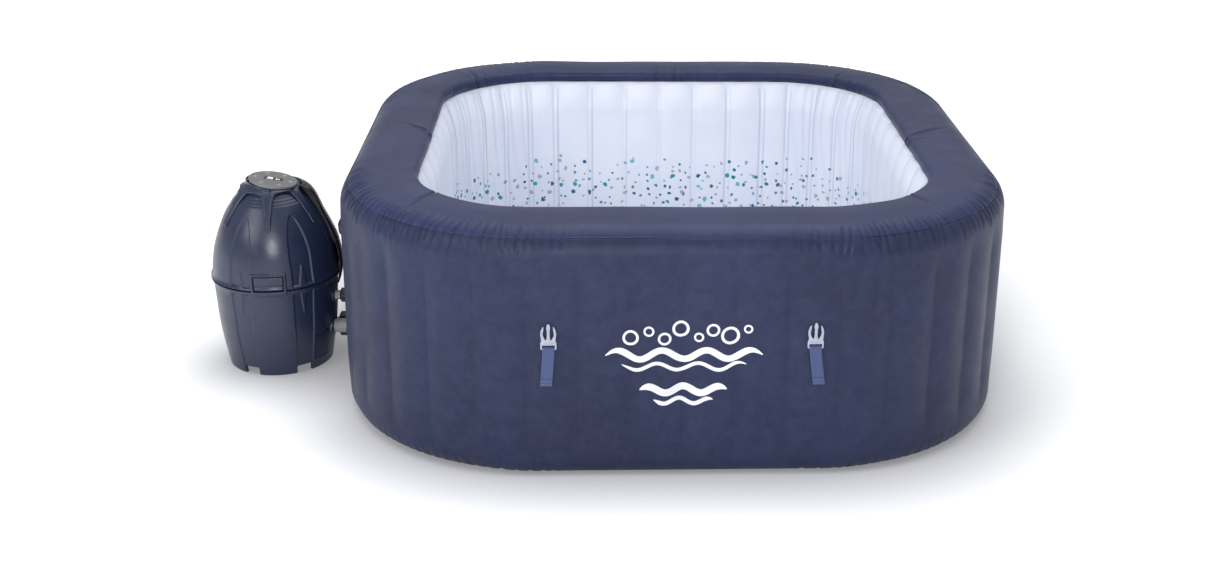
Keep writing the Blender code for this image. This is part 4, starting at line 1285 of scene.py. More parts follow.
def webbing_strip(name, line, width, thick, matrix, material="webbing"):
    """Flat webbing along a line of (up, out, across) points, its map in metres for the weave."""
    count = 9
    shares = np.linspace(-1, 1, count)
    rings, run, total = [], [], 0.0
    for i, p in enumerate(line):
        ahead, behind = line[min(i + 1, len(line) - 1)], line[max(i - 1, 0)]
        step = (ahead - behind).normalized()
        out = Vector((-step.y, step.x, 0.0)).normalized()
        ring = []
        for face in (1, -1):
            for share in shares[::face]:
                edge = 1 - 0.35 * abs(share) ** 6
                up, away, across = p + out * (face * thick / 2 * edge)
                ring.append(matrix @ Vector((across + share * width / 2, up, away)))
        rings.append(ring)
        total += (line[i] - line[i - 1]).length if i else 0.0
        run.append(total)
    made = loft(name, rings, material)
    mesh = made.data
    layer = mesh.uv_layers.new(name="map")
    ring_size = 2 * count
    across_map = np.concatenate([shares, shares[::-1]]) * width / 2
    for loop in mesh.loops:
        row, place = divmod(loop.vertex_index, ring_size)
        layer.data[loop.index].uv = (across_map[place], run[row])
    return made, total


def stitches(name, line, rows, matrix):
    """Short rounded stitches across the hem."""
    made = []
    for up_share in rows:
        p = line[int(up_share * (len(line) - 1))]
        for k in range(9):
            x = p.z + (k - 4) * 0.0030
            centre = matrix @ Vector((x, p.x, p.y + 0.0013))
            along = (matrix.to_3x3() @ Vector((1, 0, 0))).normalized()
            ends = [centre + along * d for d in (-0.0009, -0.0005, 0.0005, 0.0009)]
            normal = matrix.to_3x3() @ Vector((0, 0, 1))
            ends[0] -= normal * 0.0006
            ends[3] -= normal * 0.0006
            made.append(tube_along(name, ends, 0.00028, "thread", 8))
    return joined(name, made)


def strap(number, matrix):
    lean = TAIL_LEAN[number - 1]
    line = strap_line(lean)
    made, length = webbing_strip(f"strap_webbing_{number}", line, STRAP_WIDTH, STRAP_T, matrix)
    finish_piece(made, ROOT, "webbing", f"strap_{number}")
    hem = [p + Vector((0, 0.0011, 0)) for p in line[-6:]]
    fold, _ = webbing_strip(f"strap_hem_{number}", hem, STRAP_WIDTH * 0.99, STRAP_T, matrix)
    finish_piece(fold, ROOT, "webbing")
    thread = stitches(f"strap_stitches_{number}", [p + Vector((0, 0.0004, 0)) for p in hem], (0.35, 0.62),
                      matrix)
    finish_piece(thread, ROOT, "webbing")
    patch = filleted(rectangle(0.021, 0.020, PATCH_Z), 0.006, steps=6)
    weld = plate(f"strap_weld_patch_{number}", [patch], 0.0012, 0.0004, "wall",
                 matrix @ Matrix.Translation((0, 0, 0.0003)))
    finish_piece(weld, ROOT, "wall_sheet")


def buckle_outline():
    """The plug's outline above its bar: a body, two curved spring arms and a middle prong."""
    w, top = BUCKLE_WIDTH / 2, BUCKLE_TOP - BAR_Z
    right = [(w - 0.0030, -0.0022), (w, 0.0010), (w, 0.0170), (w - 0.0025, 0.0205), (w - 0.0030, 0.0260),
             (w - 0.0008, 0.0330), (w - 0.0002, 0.0420), (w - 0.0020, 0.0500), (w - 0.0055, top - 0.0080),
             (w - 0.0088, top - 0.0068), (w - 0.0080, 0.0500), (w - 0.0066, 0.0430), (w - 0.0070, 0.0350),
             (w - 0.0100, 0.0285), (w - 0.0125, 0.0245), (0.0085, 0.0228), (0.0050, 0.0250),
             (0.0036, 0.0330),
             (0.0036, 0.0480), (0.0050, 0.0560), (0.0030, top - 0.0015), (0.0010, top)]
    return right + [(-x, y) for x, y in reversed(right)]


def buckle(number, matrix):
    place = matrix @ Matrix.Translation((0, BAR_Z, BAR_OUT))
    slot = rectangle(0.0158, 0.00385, 0.00595)
    outlines = [filleted(buckle_outline(), 0.0016, steps=3), filleted(slot, 0.0012, steps=3)]
    parts = [plate("body", outlines, BUCKLE_DEPTH, 0.0013, "buckle", place)]
    proud = place @ Matrix.Translation((0, 0, BUCKLE_DEPTH / 2))
    for y, half in ((0.0128, 0.0150), (0.0152, 0.0135), (0.0176, 0.0120)):
        bar = filleted(rectangle(half, 0.0007, y), 0.0006)
        parts.append(plate("bar", [bar], 0.0014, 0.0003, "buckle", proud))
    spine = filleted([(-0.0016, 0.0225), (0.0016, 0.0225), (0.0014, 0.0520), (-0.0014, 0.0520)], 0.0012)
    parts.append(plate("spine", [spine], 0.0018, 0.0005, "buckle", proud))
    for sign in (-1, 1):
        edge = BUCKLE_WIDTH / 2
        rib = [(sign * (edge - x), y) for x, y in ((0.0025, 0.0205), (0.0015, 0.0330), (0.0013, 0.0420),
                                                   (0.0030, 0.0495), (0.0042, 0.0490), (0.0034, 0.0420),
                                                   (0.0036, 0.0340), (0.0042, 0.0215))]
        parts.append(plate("rib", [filleted(rib if sign > 0 else rib[::-1], 0.0008)], 0.0016, 0.0004,
                           "buckle", proud))
    made = joined(f"buckle_plug_{number}", parts)
    finish_piece(made, f"buckle_{number}_body", "buckle_plastic", f"buckle_{number}")


def straps_and_buckles():
    number = 0
    for side in range(4):
        for shift in (-STRAP_OFFSET, STRAP_OFFSET):
            number += 1
            matrix = wall_frame(side, shift)
            strap(number, matrix)
            buckle(number, matrix)


# ---------------------------------------------------------------- pump unit: shells

PUMP_X = sum(corner.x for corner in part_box("water_pump_motor")) / 2
PUMP_Y = sum(corner.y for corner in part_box("pump_base")) / 2
FRONT = -84.0
DOME = ((0.0815, 0.5250), (0.0930, 0.5110), (0.1050, 0.4960), (0.1200, 0.4740), (0.1405, 0.4380),
        (0.1560, 0.4030),
        (0.1680, 0.3640), (0.1755, 0.3200), (0.1785, 0.2900), (0.1802, 0.2820), (0.1832, 0.2752))
DOME_TOP, DOME_LOW = 0.5245, 0.2752
DOME_LIP = 0.2738
DOME_WALL, BASE_WALL = 0.0135, 0.0105
BASE_TOP = 0.2685
BASE = ((0.1833, 0.2685), (0.1800, 0.2590), (0.1765, 0.2480), (0.1735, 0.2000), (0.1700, 0.1400),
        (0.1610, 0.0700),
        (0.1490, 0.0000))
PETALS_DOME = (-114.0, -54.0, 126.0, 186.0)
PETAL_TOP, PETAL_WIDEST = 0.4715, 0.370
PETAL_HALF = 11.2
PETALS_BASE = tuple(-114.0 + 60.0 * k for k in range(6))
NOTCH_HALF = 9.0
NOTCH_TOP = 0.022


def curve_table(outline, steps=14):
    """Radius against height along a smooth outline given from its top down."""
    path = smooth_path([Vector((r, z, 0)) for r, z in outline], steps)
    return np.array([p.x for p in path]), np.array([p.y for p in path])


def radius_at(table, z):
    r, levels = table
    return np.interp(z, levels[::-1], r[::-1])


DOME_CURVE = curve_table(DOME)
BASE_CURVE = curve_table(BASE)


def pump_point(azimuth, radius, z):
    """A point about the pump's axis, by azimuth in degrees."""
    t = math.radians(azimuth)
    return Vector((PUMP_X + radius * math.cos(t), PUMP_Y + radius * math.sin(t), z))


def turn_gap(azimuth, middle):
    """Degrees between two azimuths, the shorter way."""
    return np.abs((azimuth - middle + 180) % 360 - 180)


def petal_relief(azimuth, z, radius):
    """Teardrop hollows in the dome, each with a small flame-shaped rise at its foot."""
    up = np.clip((z - PETAL_WIDEST) / (PETAL_TOP - PETAL_WIDEST), 0, 1)
    half = PETAL_HALF * np.sqrt(1 - up ** 2) - 0.7 * ease(PETAL_WIDEST - z, 0, 0.05)
    flame = 4.6 * np.clip(1 - (z - 0.2745) / 0.066, 0, 1) ** 0.7
    relief = np.zeros(np.broadcast(azimuth, z).shape)
    for middle in PETALS_DOME:
        away = turn_gap(azimuth, middle)
        inside = np.minimum(np.radians(half - away) * radius, (PETAL_TOP - z) * 0.8)
        relief -= 0.0046 * ease(inside, -0.0006, 0.0034) * ease(z, 0.2780, 0.2835)
        relief += 0.0034 * ease(np.radians(flame - away) * radius, -0.0005, 0.0045) * ease(z, 0.2780, 0.2830)
    return relief


LEDGES = (0.4955, 0.5025, 0.5100, 0.5185)
LATCH_MIDDLE = -86.0
LATCH_R = 0.1856
GRILLE_MIDDLE = -32.4


def ledge_relief(z):
    """Stepped rings under the crown's arches."""
    return -0.0014 * sum(ease(z, level, level + 0.0016) for level in LEDGES)


def latch_relief(azimuth, z, radius):
    """A raised frame across the seam at the front, with a recess for the latch plate."""
    away = turn_gap(azimuth, LATCH_MIDDLE)
    within = np.minimum(np.radians(15.6 - away) * radius, np.minimum(z - 0.2615, 0.3235 - z))
    hollow = np.minimum(np.radians(13.75 - away) * radius, np.minimum(z - 0.2735, 0.3185 - z))
    pad = ease(within, -0.0008, 0.0014)
    well = ease(hollow, 0.0, 0.0012)
    return pad * (LATCH_R - radius - 0.0062 * well)


def base_relief(azimuth, z, radius):
    """The petals carried on down the base to the feet, and the shallow pocket behind the intake holes."""
    half = 10.4 - 0.9 * np.clip((0.27 - z) / 0.25, 0, 1)
    rise = 3.6 * np.clip(1 - (0.262 - z) / 0.075, 0, 1) ** 0.7
    below = 1 - ease(z, 0.2560, 0.2625)
    relief = np.zeros(np.broadcast(azimuth, z).shape)
    for middle in PETALS_BASE:
        away = turn_gap(azimuth, middle)
        relief -= 0.0036 * ease(np.radians(half - away) * radius, -0.0008, 0.0032) * below
        relief += 0.0024 * ease(np.radians(rise - away) * radius, -0.0005, 0.0040) * below
    across = np.radians(10.3 - turn_gap(azimuth, GRILLE_MIDDLE)) * radius
    pocket = np.minimum(across, np.minimum(z - 0.034, 0.116 - z))
    return relief - 0.0060 * ease(pocket, 0.0, 0.0010)


def around_pump(azimuth, radius, z):
    """Points about the pump's axis for arrays of azimuth in degrees, radius and height."""
    angle, radius, z = np.broadcast_arrays(np.radians(azimuth), radius, z)
    return np.stack([PUMP_X + radius * np.cos(angle), PUMP_Y + radius * np.sin(angle), z], axis=-1)


def pump_dome():
    azimuth = np.arange(0, 360, 0.4)[None, :]
    z = np.concatenate([np.linspace(DOME_TOP, 0.2900, 150), np.linspace(0.2900, DOME_LOW, 18)[1:]])[:, None]
    radius = radius_at(DOME_CURVE, z)
    relief = petal_relief(azimuth, z, radius) + ledge_relief(z) + latch_relief(azimuth, z, radius)
    lip = radius[-1] + latch_relief(azimuth, z[-1:], radius[-1:])
    outer = around_pump(azimuth, radius + relief, z)
    under = [around_pump(azimuth, lip - drop, np.full((1, 1), level))
             for drop, level in ((0.0006, 0.2742), (0.0018, DOME_LIP), (0.0080, DOME_LIP))]
    back = z[::6][::-1]
    inner = around_pump(azimuth, radius_at(DOME_CURVE, back) - DOME_WALL, back)
    inner[:1, :, 2] = DOME_LIP
    made = grid_object("dome_shell", np.concatenate([outer, *under, inner]), "pump")
    return finish_piece(made, ROOT, "pump_plastic", "pump_dome")


def foot_level(azimuth):
    """The base's lower edge: the floor, or the top of a notch between two feet."""
    level = np.zeros_like(azimuth)
    for middle in PETALS_BASE:
        level = np.maximum(level, NOTCH_TOP * ease(NOTCH_HALF - turn_gap(azimuth, middle), -0.12, 0.12))
    return level


def pump_base():
    """The lower shell with its feet, and the tray inside it."""
    azimuth = np.arange(0, 360, 0.4)
    edges = np.concatenate([np.array([m - NOTCH_HALF, m + NOTCH_HALF]) for m in PETALS_BASE]) % 360
    extra = np.concatenate([edges - 0.13, edges + 0.13, edges - 0.05, edges + 0.05]) % 360
    azimuth = np.unique(np.round(np.concatenate([azimuth, extra]), 4))[None, :]
    low = foot_level(azimuth)
    share = np.concatenate([np.linspace(0, 0.06, 14), np.linspace(0.06, 1, 120)[1:]])[:, None]
    z = BASE_TOP + (low + 0.0030 - BASE_TOP) * share
    radius = radius_at(BASE_CURVE, z)
    relief = base_relief(azimuth, z, radius) + latch_relief(azimuth, z, radius)
    outer = around_pump(azimuth, radius + relief, z)
    foot = [around_pump(azimuth, radius_at(BASE_CURVE, low) + relief[-1:] - drop, low + rise)
            for drop, rise in ((0.0006, 0.0012), (0.0024, 0.0))]
    back_share = share[::6][::-1]
    back = BASE_TOP + (low - BASE_TOP) * back_share
    inner = around_pump(azimuth, radius_at(BASE_CURVE, np.maximum(back, 0.0)) - BASE_WALL, back)
    rim = [around_pump(azimuth, radius[:1] + relief[:1] - drop, np.full((1, 1), level))
           for drop, level in ((0.0030, 0.2702), (0.0008, 0.2696))]
    made = grid_object("base_shell", np.concatenate([outer, *foot, inner, *rim]), "pump")
    finish_piece(made, ROOT, "pump_plastic", "pump_base")
    tray = lathe("base_tray", [(0.0, 0.0250), (0.1420, 0.0250), (0.1440, 0.0235), (0.1440, 0.0220),
                               (0.0, 0.0220)],
                 "pump", (PUMP_X, PUMP_Y, 0), fillet=0.001, closed=False)
    finish_piece(tray, ROOT, "pump_plastic")


def port_collars():
    """The moulded rims where the three hoses leave the base."""
    for name, (y, z, _, _), x, large, bore in (("inlet", INLET, -0.9830, 0.0275, 0.0203),
                                               ("outlet", OUTLET, -0.9960, 0.0275, 0.0203),
                                               ("air", AIR, -0.9765, 0.0195, 0.0143)):
        profile = [(bore, -0.012), (bore, 0.0045), (large - 0.003, 0.0045), (large, 0.0), (large, -0.012)]
        collar = lathe(f"{name}_port_collar", profile, "pump", (x, y, z), (1, 0, 0), fillet=0.0015)
        finish_piece(collar, ROOT, "pump_plastic")


LEGS = tuple(FRONT + 60.0 * k for k in range(6) if k != 2)
LEG_SHAPE = ((0.0, 0.4362), (2.3, 0.4364), (2.8, 0.4420), (4.2, 0.4640), (5.6, 0.4825), (7.0, 0.4970),
             (8.5, 0.5080),
             (11.0, 0.5185), (14.0, 0.5245), (20.0, 0.5275), (30.0, 0.5285))
CROWN_PROUD = 0.0046
NECK_R = 0.0664
CROWN_TURN = (0.5235, 0.5330)
CROWN_NECK = ((NECK_R, 0.5620), (0.0668, 0.5455), (0.0690, 0.5410), (0.0735, 0.5372), (0.0825, 0.5325))
CROWN_WALL = 0.0035
CROWN_EDGE = 0.0032
CROWN_SPACING = 1.15


def crown_low(azimuth):
    """The crown's lower edge: arches between legs that taper down the dome."""
    away = np.min([turn_gap(azimuth, leg) for leg in LEGS], axis=0)
    away = np.where(turn_gap(azimuth, 36.0) < 34, 30.0, away)
    return np.interp(away, [a for a, _ in LEG_SHAPE], [z for _, z in LEG_SHAPE])


def crown_radius(z, share, proud, inset=0.0):
    """A little outside the dome low down, the neck's radius above, turned in under the panel's low edge."""
    table = tuple(np.array(column) for column in zip(*CROWN_NECK))
    low = radius_at(DOME_CURVE, np.minimum(z, DOME_TOP)) + proud
    high = radius_at(table, z) - inset
    mixed = ease(z, *CROWN_TURN)
    radius = low * (1 - mixed) + high * mixed
    shelf = ease(share, 0.90, 1.0)
    return radius * (1 - shelf) + np.minimum(radius, NECK_R - inset) * shelf


def pump_crown():
    dense = np.concatenate([leg + np.concatenate([np.linspace(-14, -1.9, 90),
                                                  np.linspace(-1.9, 1.9, 14)[1:-1],
                                                  np.linspace(1.9, 14, 90)]) for leg in LEGS])
    sparse = np.concatenate([leg + np.arange(14.5, 46, 0.5) for leg in LEGS] + [np.arange(0.0, 72.0, 0.5)])
    azimuth = np.unique(np.round(np.concatenate([dense, sparse]) % 360, 3))[None, :]
    low = crown_low(azimuth)
    slope = np.gradient(low[0], np.radians(azimuth[0]) * 0.11)[None, :]
    lean = 1 / np.sqrt(1 + slope ** 2)
    across = PUMP_X + 0.066 * np.cos(np.radians(azimuth)) - PANEL_AT[0]
    panel_plane = PANEL_AT[2] - PANEL_T - across * math.tan(PANEL_TILT)
    share = np.concatenate([np.linspace(0, 0.12, 12), np.linspace(0.12, 1, 60)[1:]])[:, None]
    z = low + (panel_plane - low) * share ** CROWN_SPACING
    edge = (z - low) * lean
    ridge = 0.0011 * np.exp(-((edge - 0.0042) / 0.0016) ** 2)
    radius = crown_radius(z, share, CROWN_PROUD) - rounding(edge, CROWN_EDGE) + ridge
    outer = around_pump(azimuth, radius, z)
    back = share[::5][::-1]
    back_z = low + (panel_plane - low) * back ** CROWN_SPACING
    inner = around_pump(azimuth, crown_radius(back_z, back, 0.0002, CROWN_WALL), back_z)
    made = grid_object("crown_cap", np.concatenate([outer, inner]), "pump")
    return finish_piece(made, ROOT, "pump_plastic", "pump_crown")


# ---------------------------------------------------------------- pump unit: panel, spine and trim

PANEL_R = 0.069
PANEL_T = 0.008
PANEL_AT = (-1.134, PUMP_Y, 0.548)
PANEL_TILT = math.radians(9.5)
PANEL = Matrix.Translation(PANEL_AT) @ Matrix.Rotation(PANEL_TILT, 4, "Y")
BUTTON_R = 0.0050
BUTTON_RING = 0.050
WINDOW_HALF = (0.026, 0.011)
WINDOW_Y = 0.004
CLEAR = 0.0004


def button_place(k):
    angle = math.radians(60 * (k + 0.5) - 90)
    return BUTTON_RING * math.cos(angle), BUTTON_RING * math.sin(angle)


def control_panel():
    profile = [(0.0, 0.0), (0.0425, 0.0), (0.0432, -0.0005), (0.0439, 0.0), (0.0598, 0.0), (0.0605, -0.0006),
               (0.0612, 0.0), (0.0645, 0.0006), (0.0675, 0.0002), (PANEL_R, -0.0022), (PANEL_R, -0.0060),
               (0.0670, -PANEL_T), (0.0, -PANEL_T)]
    made = lathe("control_panel_disc", profile, "panel", segments=160, fillet=0.0008, closed=False)
    hole_r = BUTTON_R + CLEAR
    cutters = [lathe("hole", [(0, 0.01), (hole_r, 0.01), (hole_r, -0.02), (0, -0.02)], "black",
                     (*button_place(k), 0), segments=40, closed=False) for k in range(6)]
    half_w, half_h = WINDOW_HALF
    window = plate("hole", [filleted(rectangle(half_w + CLEAR, half_h + CLEAR), 0.003)],
                   0.006, 0.0003, "black", Matrix.Translation((0, WINDOW_Y, 0.0005)))
    cut(made, cutters + [window])
    made.data.transform(PANEL)
    finish_piece(made, ROOT, "panel_plastic", "control_panel")
    lens = plate("display_lens", [filleted(rectangle(half_w, half_h), 0.0028)], 0.0022, 0.0003, "lens",
                 PANEL @ Matrix.Translation((0, WINDOW_Y, -0.0010)))
    finish_piece(lens, ROOT, "display_lens", "display_window")
    readouts()
    gasket = lathe("panel_gasket", [(0.0610, -0.0080), (0.0675, -0.0080), (0.0680, -0.0090),
                                    (0.0672, -0.0101),
                                    (0.0610, -0.0101)], "black", segments=128, fillet=0.0004)
    gasket.data.transform(PANEL)
    finish_piece(gasket, ROOT, "gland_rubber")


SEGMENTS = {"top": (0, 1, 0), "middle": (0, 0, 0), "bottom": (0, -1, 0), "upper_left": (-1, 1, 1),
            "upper_right": (1, 1, 1), "lower_left": (-1, -1, 1), "lower_right": (1, -1, 1)}
DIGITS = {"0": ("top", "bottom", "upper_left", "upper_right", "lower_left", "lower_right"),
          "3": ("top", "middle", "bottom", "upper_right", "lower_right"),
          "8": tuple(SEGMENTS)}


def digit(character, x, y, height):
    """Seven-segment bars for one figure."""
    half_h, half_w = height / 4, height / 4
    bars = []
    for name in DIGITS[character]:
        sx, sy, upright = SEGMENTS[name]
        centre = (x + sx * half_w * 1.02, y + sy * (half_h if upright else 2 * half_h))
        long, wide = 0.40 * height / 2, 0.055 * height
        bar = [(-long, 0), (-long + wide, wide), (long - wide, wide), (long, 0), (long - wide, -wide),
               (-long + wide, -wide)]
        if upright:
            bar = [(-b, a) for a, b in bar]
        bars.append(plate("bar", [[(centre[0] + a, centre[1] + b) for a, b in bar]], 0.0005, 0.0001, "lit",
                          PANEL @ Matrix.Translation((0, 0, 0.00025))))
    return bars


def readouts():
    made = joined("display_figures", digit("3", -0.0150, 0.004, 0.0130) + digit("8", -0.0055, 0.004, 0.0130)
                  + digit("3", 0.0085, 0.0025, 0.0080) + digit("0", 0.0150, 0.0025, 0.0080))
    return finish_piece(made, ROOT, "display_lens")


def arc_band(radius, wide, start, end, count=20):
    outer = [(radius + wide / 2, a) for a in np.linspace(start, end, count)]
    inner = [(radius - wide / 2, a) for a in np.linspace(end, start, count)]
    return [(r * math.cos(math.radians(a)), r * math.sin(math.radians(a))) for r, a in outer + inner]


def button_icons():
    """Plain signs: power, drop, flame, ripples, up and down."""
    drop = [(0.0, 0.0030)] + [(0.0019 * math.cos(math.radians(a)),
                               -0.0007 + 0.0019 * math.sin(math.radians(a)))
                              for a in range(30, -211, -20)]
    flame = [(0.0004, 0.0030), (0.0020, 0.0004), (0.0016, -0.0018), (0.0, -0.0026), (-0.0016, -0.0018),
             (-0.0018, 0.0),
             (-0.0008, 0.0008)]
    ripple = [[(x, y + 0.0005 * math.sin(x * 2600) + side * 0.00028) for side in (1, -1)
               for x in np.linspace(-0.0028 * side, 0.0028 * side, 15)] for y in (-0.0011, 0.0011)]
    power = [arc_band(0.0022, 0.0006, 125, 415), rectangle(0.0003, 0.00125, 0.00185)]
    up = [(-0.0024, -0.0014), (0.0024, -0.0014), (0.0, 0.0024)]
    down = [(-0.0024, 0.0014), (0.0, -0.0024), (0.0024, 0.0014)]
    return power, [drop], [flame], ripple, [up], [down]


def buttons():
    for k, icon in enumerate(button_icons()):
        x, y = button_place(k)
        body = f"button_{k + 1}_body"
        place = PANEL @ Matrix.Translation((x, y, 0))
        profile = [(0.0, 0.0009), (0.0030, 0.0010), (0.0044, 0.0009), (BUTTON_R, 0.0002),
                   (BUTTON_R, -0.0050), (0.0, -0.0050)]
        cap = lathe(f"button_cap_{k + 1}", profile, "button", segments=56, fillet=0.0004, closed=False)
        cap.data.transform(place)
        finish_piece(cap, body, "button_plastic", f"button_{k + 1}")
        signs = [plate("sign", [outline], 0.0003, 0.00005, "icon",
                       place @ Matrix.Translation((0, 0, 0.00105)))
                 for outline in icon]
        finish_piece(joined(f"button_sign_{k + 1}", signs), body, "button_plastic")
        ring = plate(f"button_ring_{k + 1}", [circle(0.0078, 48), circle(0.0073, 48)[::-1]], 0.0003, 0.00005,
                     "icon",
                     place @ Matrix.Translation((0, 0, 0.00008)))
        finish_piece(ring, ROOT, "panel_plastic")
    ticks = []
    for k in range(36):
        a = math.radians(10 * k + 5)
        long = 0.0016 if k % 3 else 0.0030
        spot = Matrix.Rotation(a, 4, "Z") @ Matrix.Translation((0.0, 0.0628, 0.0005))
        ticks.append(plate("tick", [rectangle(0.0003, long / 2)], 0.0004, 0.00005, "icon", PANEL @ spot))
    finish_piece(joined("panel_ticks", ticks), ROOT, "panel_plastic")


SPINE = ((0.0900, 0.5330), (0.1062, 0.5255), (0.1190, 0.5140), (0.1300, 0.4960), (0.1385, 0.4750),
         (0.1490, 0.4480),
         (0.1671, 0.4080), (0.1820, 0.3700), (0.1905, 0.3300), (0.1935, 0.2900), (0.1880, 0.2560),
         (0.1800, 0.2320))


SPINE_MIDDLE, SPINE_SPAN = 30.0, 33.0
SPINE_DOME_FROM = 0.276


def spine_back(z):
    """The radius that the cover's front stays outside: the base's rim low down, the dome above."""
    if z <= 0.262:
        return 0.1790
    if z < SPINE_DOME_FROM:
        return 0.1846
    return float(radius_at(DOME_CURVE, min(z, DOME_TOP))) + 0.0012


def rear_spine():
    """The glossy cover down the back of the dome, whose middle stands off as a handle."""
    start, end = SPINE_MIDDLE - SPINE_SPAN, SPINE_MIDDLE + SPINE_SPAN
    outline = [(p.x, p.y) for p in smooth_path([Vector((r, z, 0)) for r, z in SPINE], 8)]
    inner = [(float(radius_at(DOME_CURVE, z)) + 0.0010, z)
             for z in np.linspace(SPINE_DOME_FROM, DOME_TOP, 40)]
    inner = [(0.1772, 0.2320), (0.1790, 0.2500), (0.1846, 0.2680)] + inner[1:] + [(0.0855, 0.5265)]
    rings = []
    for a in np.linspace(start, end, 90):
        pull = rounding(math.radians(min(a - start, end - a)) * 0.18, 0.0050)
        groove = 0.0014 * math.exp(-(abs(a - SPINE_MIDDLE) - 17.0) ** 2 / 0.8)
        ring = [(max(r - pull - groove, spine_back(z) + 0.0006), z) for r, z in outline] + inner
        rings.append([pump_point(a, r, z) for r, z in ring])
    made = loft("spine_cover", rings, "spine")
    slot = filleted([(0.150, 0.360), (0.1760, 0.360), (0.1810, 0.340), (0.1865, 0.306), (0.1825, 0.296),
                     (0.150, 0.296)],
                    0.0035)
    gap = [[pump_point(a, r, z) for r, z in slot] for a in np.linspace(start - 6, end + 6, 60)]
    cut(made, [loft("gap", gap, "spine")])
    return finish_piece(made, ROOT, "spine_plastic", "rear_spine")


def curved_pad(name, start, end, low, high, radius_of, depth, edge, columns, rows):
    """A raised pad on the pump's curve, with rounded edges. Its front's radius is given for a height."""
    rings = []
    for a in np.linspace(start, end, columns):
        front, back = [], []
        for z in np.linspace(low, high, rows):
            r = radius_of(z)
            near = min(math.radians(min(a - start, end - a)) * r, z - low, high - z)
            front.append(pump_point(a, r - rounding(near, edge), z))
            back.append(pump_point(a, r - depth, z))
        rings.append(front + back[::-1])
    return sharpened(loft(name, rings, "pump"), 50)


def latch():
    """The plate over the seam, with a finger groove across it, and the keeper below it."""
    def face(z):
        return LATCH_R - 0.0004 - 0.0030 * math.exp(-((z - 0.2865) / 0.0045) ** 2)
    made = curved_pad("latch_cover", LATCH_MIDDLE - 12.6, LATCH_MIDDLE + 12.6, 0.2765, 0.3158, face,
                      0.0045, 0.0016, 70, 44)
    finish_piece(made, ROOT, "pump_plastic", "latch_plate")
    bars = [curved_pad("bar", LATCH_MIDDLE + a, LATCH_MIDDLE + b, low, high, lambda z: LATCH_R + 0.0006,
                       0.0070, 0.0010, columns, 12)
            for a, b, low, high,
            columns in ((-15.4, 15.4, 0.2632, 0.2722, 70), (-15.4, -13.2, 0.2660, 0.2800, 10),
                                             (13.2, 15.4, 0.2660, 0.2800, 10))]
    finish_piece(joined("latch_keeper", bars), ROOT, "pump_plastic")


def intake_grille():
    """A curved plate pierced by staggered round holes."""
    low, high, start, end = 0.036, 0.114, GRILLE_MIDDLE - 9.8, GRILLE_MIDDLE + 9.8
    columns, rows, around = 8, 11, 12
    hole, thick = 0.0021, 0.0022
    width, height = (end - start) / columns, (high - low) / rows
    verts, faces = [], []

    def point(a, z, depth):
        verts.append(pump_point(a, float(radius_at(BASE_CURVE, z)) + 0.0006 - depth, z))
        return len(verts) - 1

    for i in range(columns):
        for j in range(rows):
            a0, z0 = start + (i + 0.5) * width, low + (j + 0.5) * height
            degrees = 1 / (math.radians(1) * 0.165)
            loops = []
            for depth in (0.0, thick):
                square, ring = [], []
                for k in range(around):
                    t = 2 * math.pi * k / around
                    c, s = math.cos(t), math.sin(t)
                    scale = 1 / max(abs(c), abs(s))
                    square.append(point(a0 + c * scale * width / 2, z0 + s * scale * height / 2, depth))
                    ring.append(point(a0 + c * hole * degrees, z0 + s * hole, depth))
                loops.append((square, ring))
            for k in range(around):
                n = (k + 1) % around
                (fs, fr), (bs, br) = loops
                faces += [(fs[k], fs[n], fr[n], fr[k]), (bs[n], bs[k], br[k], br[n]),
                          (fr[k], fr[n], br[n], br[k])]
                c, s = math.cos(2 * math.pi * (k + 0.5) / around), math.sin(2 * math.pi * (k + 0.5) / around)
                right = abs(c) > abs(s)
                outside = (right and ((c > 0 and i == columns - 1) or (c < 0 and i == 0))) or \
                          (not right and ((s > 0 and j == rows - 1) or (s < 0 and j == 0)))
                if outside:
                    faces.append((fs[n], fs[k], bs[k], bs[n]))
    made = mesh_object("intake_grille_plate", verts, faces, "pump")
    welded(made, 2e-5)
    sharpened(made)
    finish_piece(made, ROOT, "grille_plastic", "intake_grille")


def cord_gland():
    angle = 100.0
    profile = [(0.0, 0.0198), (0.0045, 0.0200), (0.0062, 0.0195)]
    for k in range(3):
        z = 0.0175 - k * 0.0042
        r = 0.0068 + k * 0.0009
        profile += [(r, z), (r, z - 0.0018), (r - 0.0010, z - 0.0022), (r - 0.0010, z - 0.0038)]
    profile += [(0.0110, 0.0040), (0.0110, 0.0), (0.0, 0.0)]
    out = Matrix.Rotation(math.radians(angle), 3, "Z") @ Vector((1, 0, 0))
    made = lathe("cord_inlet_gland", profile, "gland", pump_point(angle, 0.1640, 0.070), out, 48,
                 fillet=0.0004, closed=False)
    finish_piece(made, ROOT, "gland_rubber", "cord_gland")


# ---------------------------------------------------------------- fittings, pipes and valves

INLET = (-0.165, 0.108, 0.0200, 0.0165)
OUTLET = (-0.075, 0.077, 0.0200, 0.0165)
AIR = (-0.165, 0.205, 0.0140, 0.0110)
NECK = 0.030
FLANGE_R = 0.034


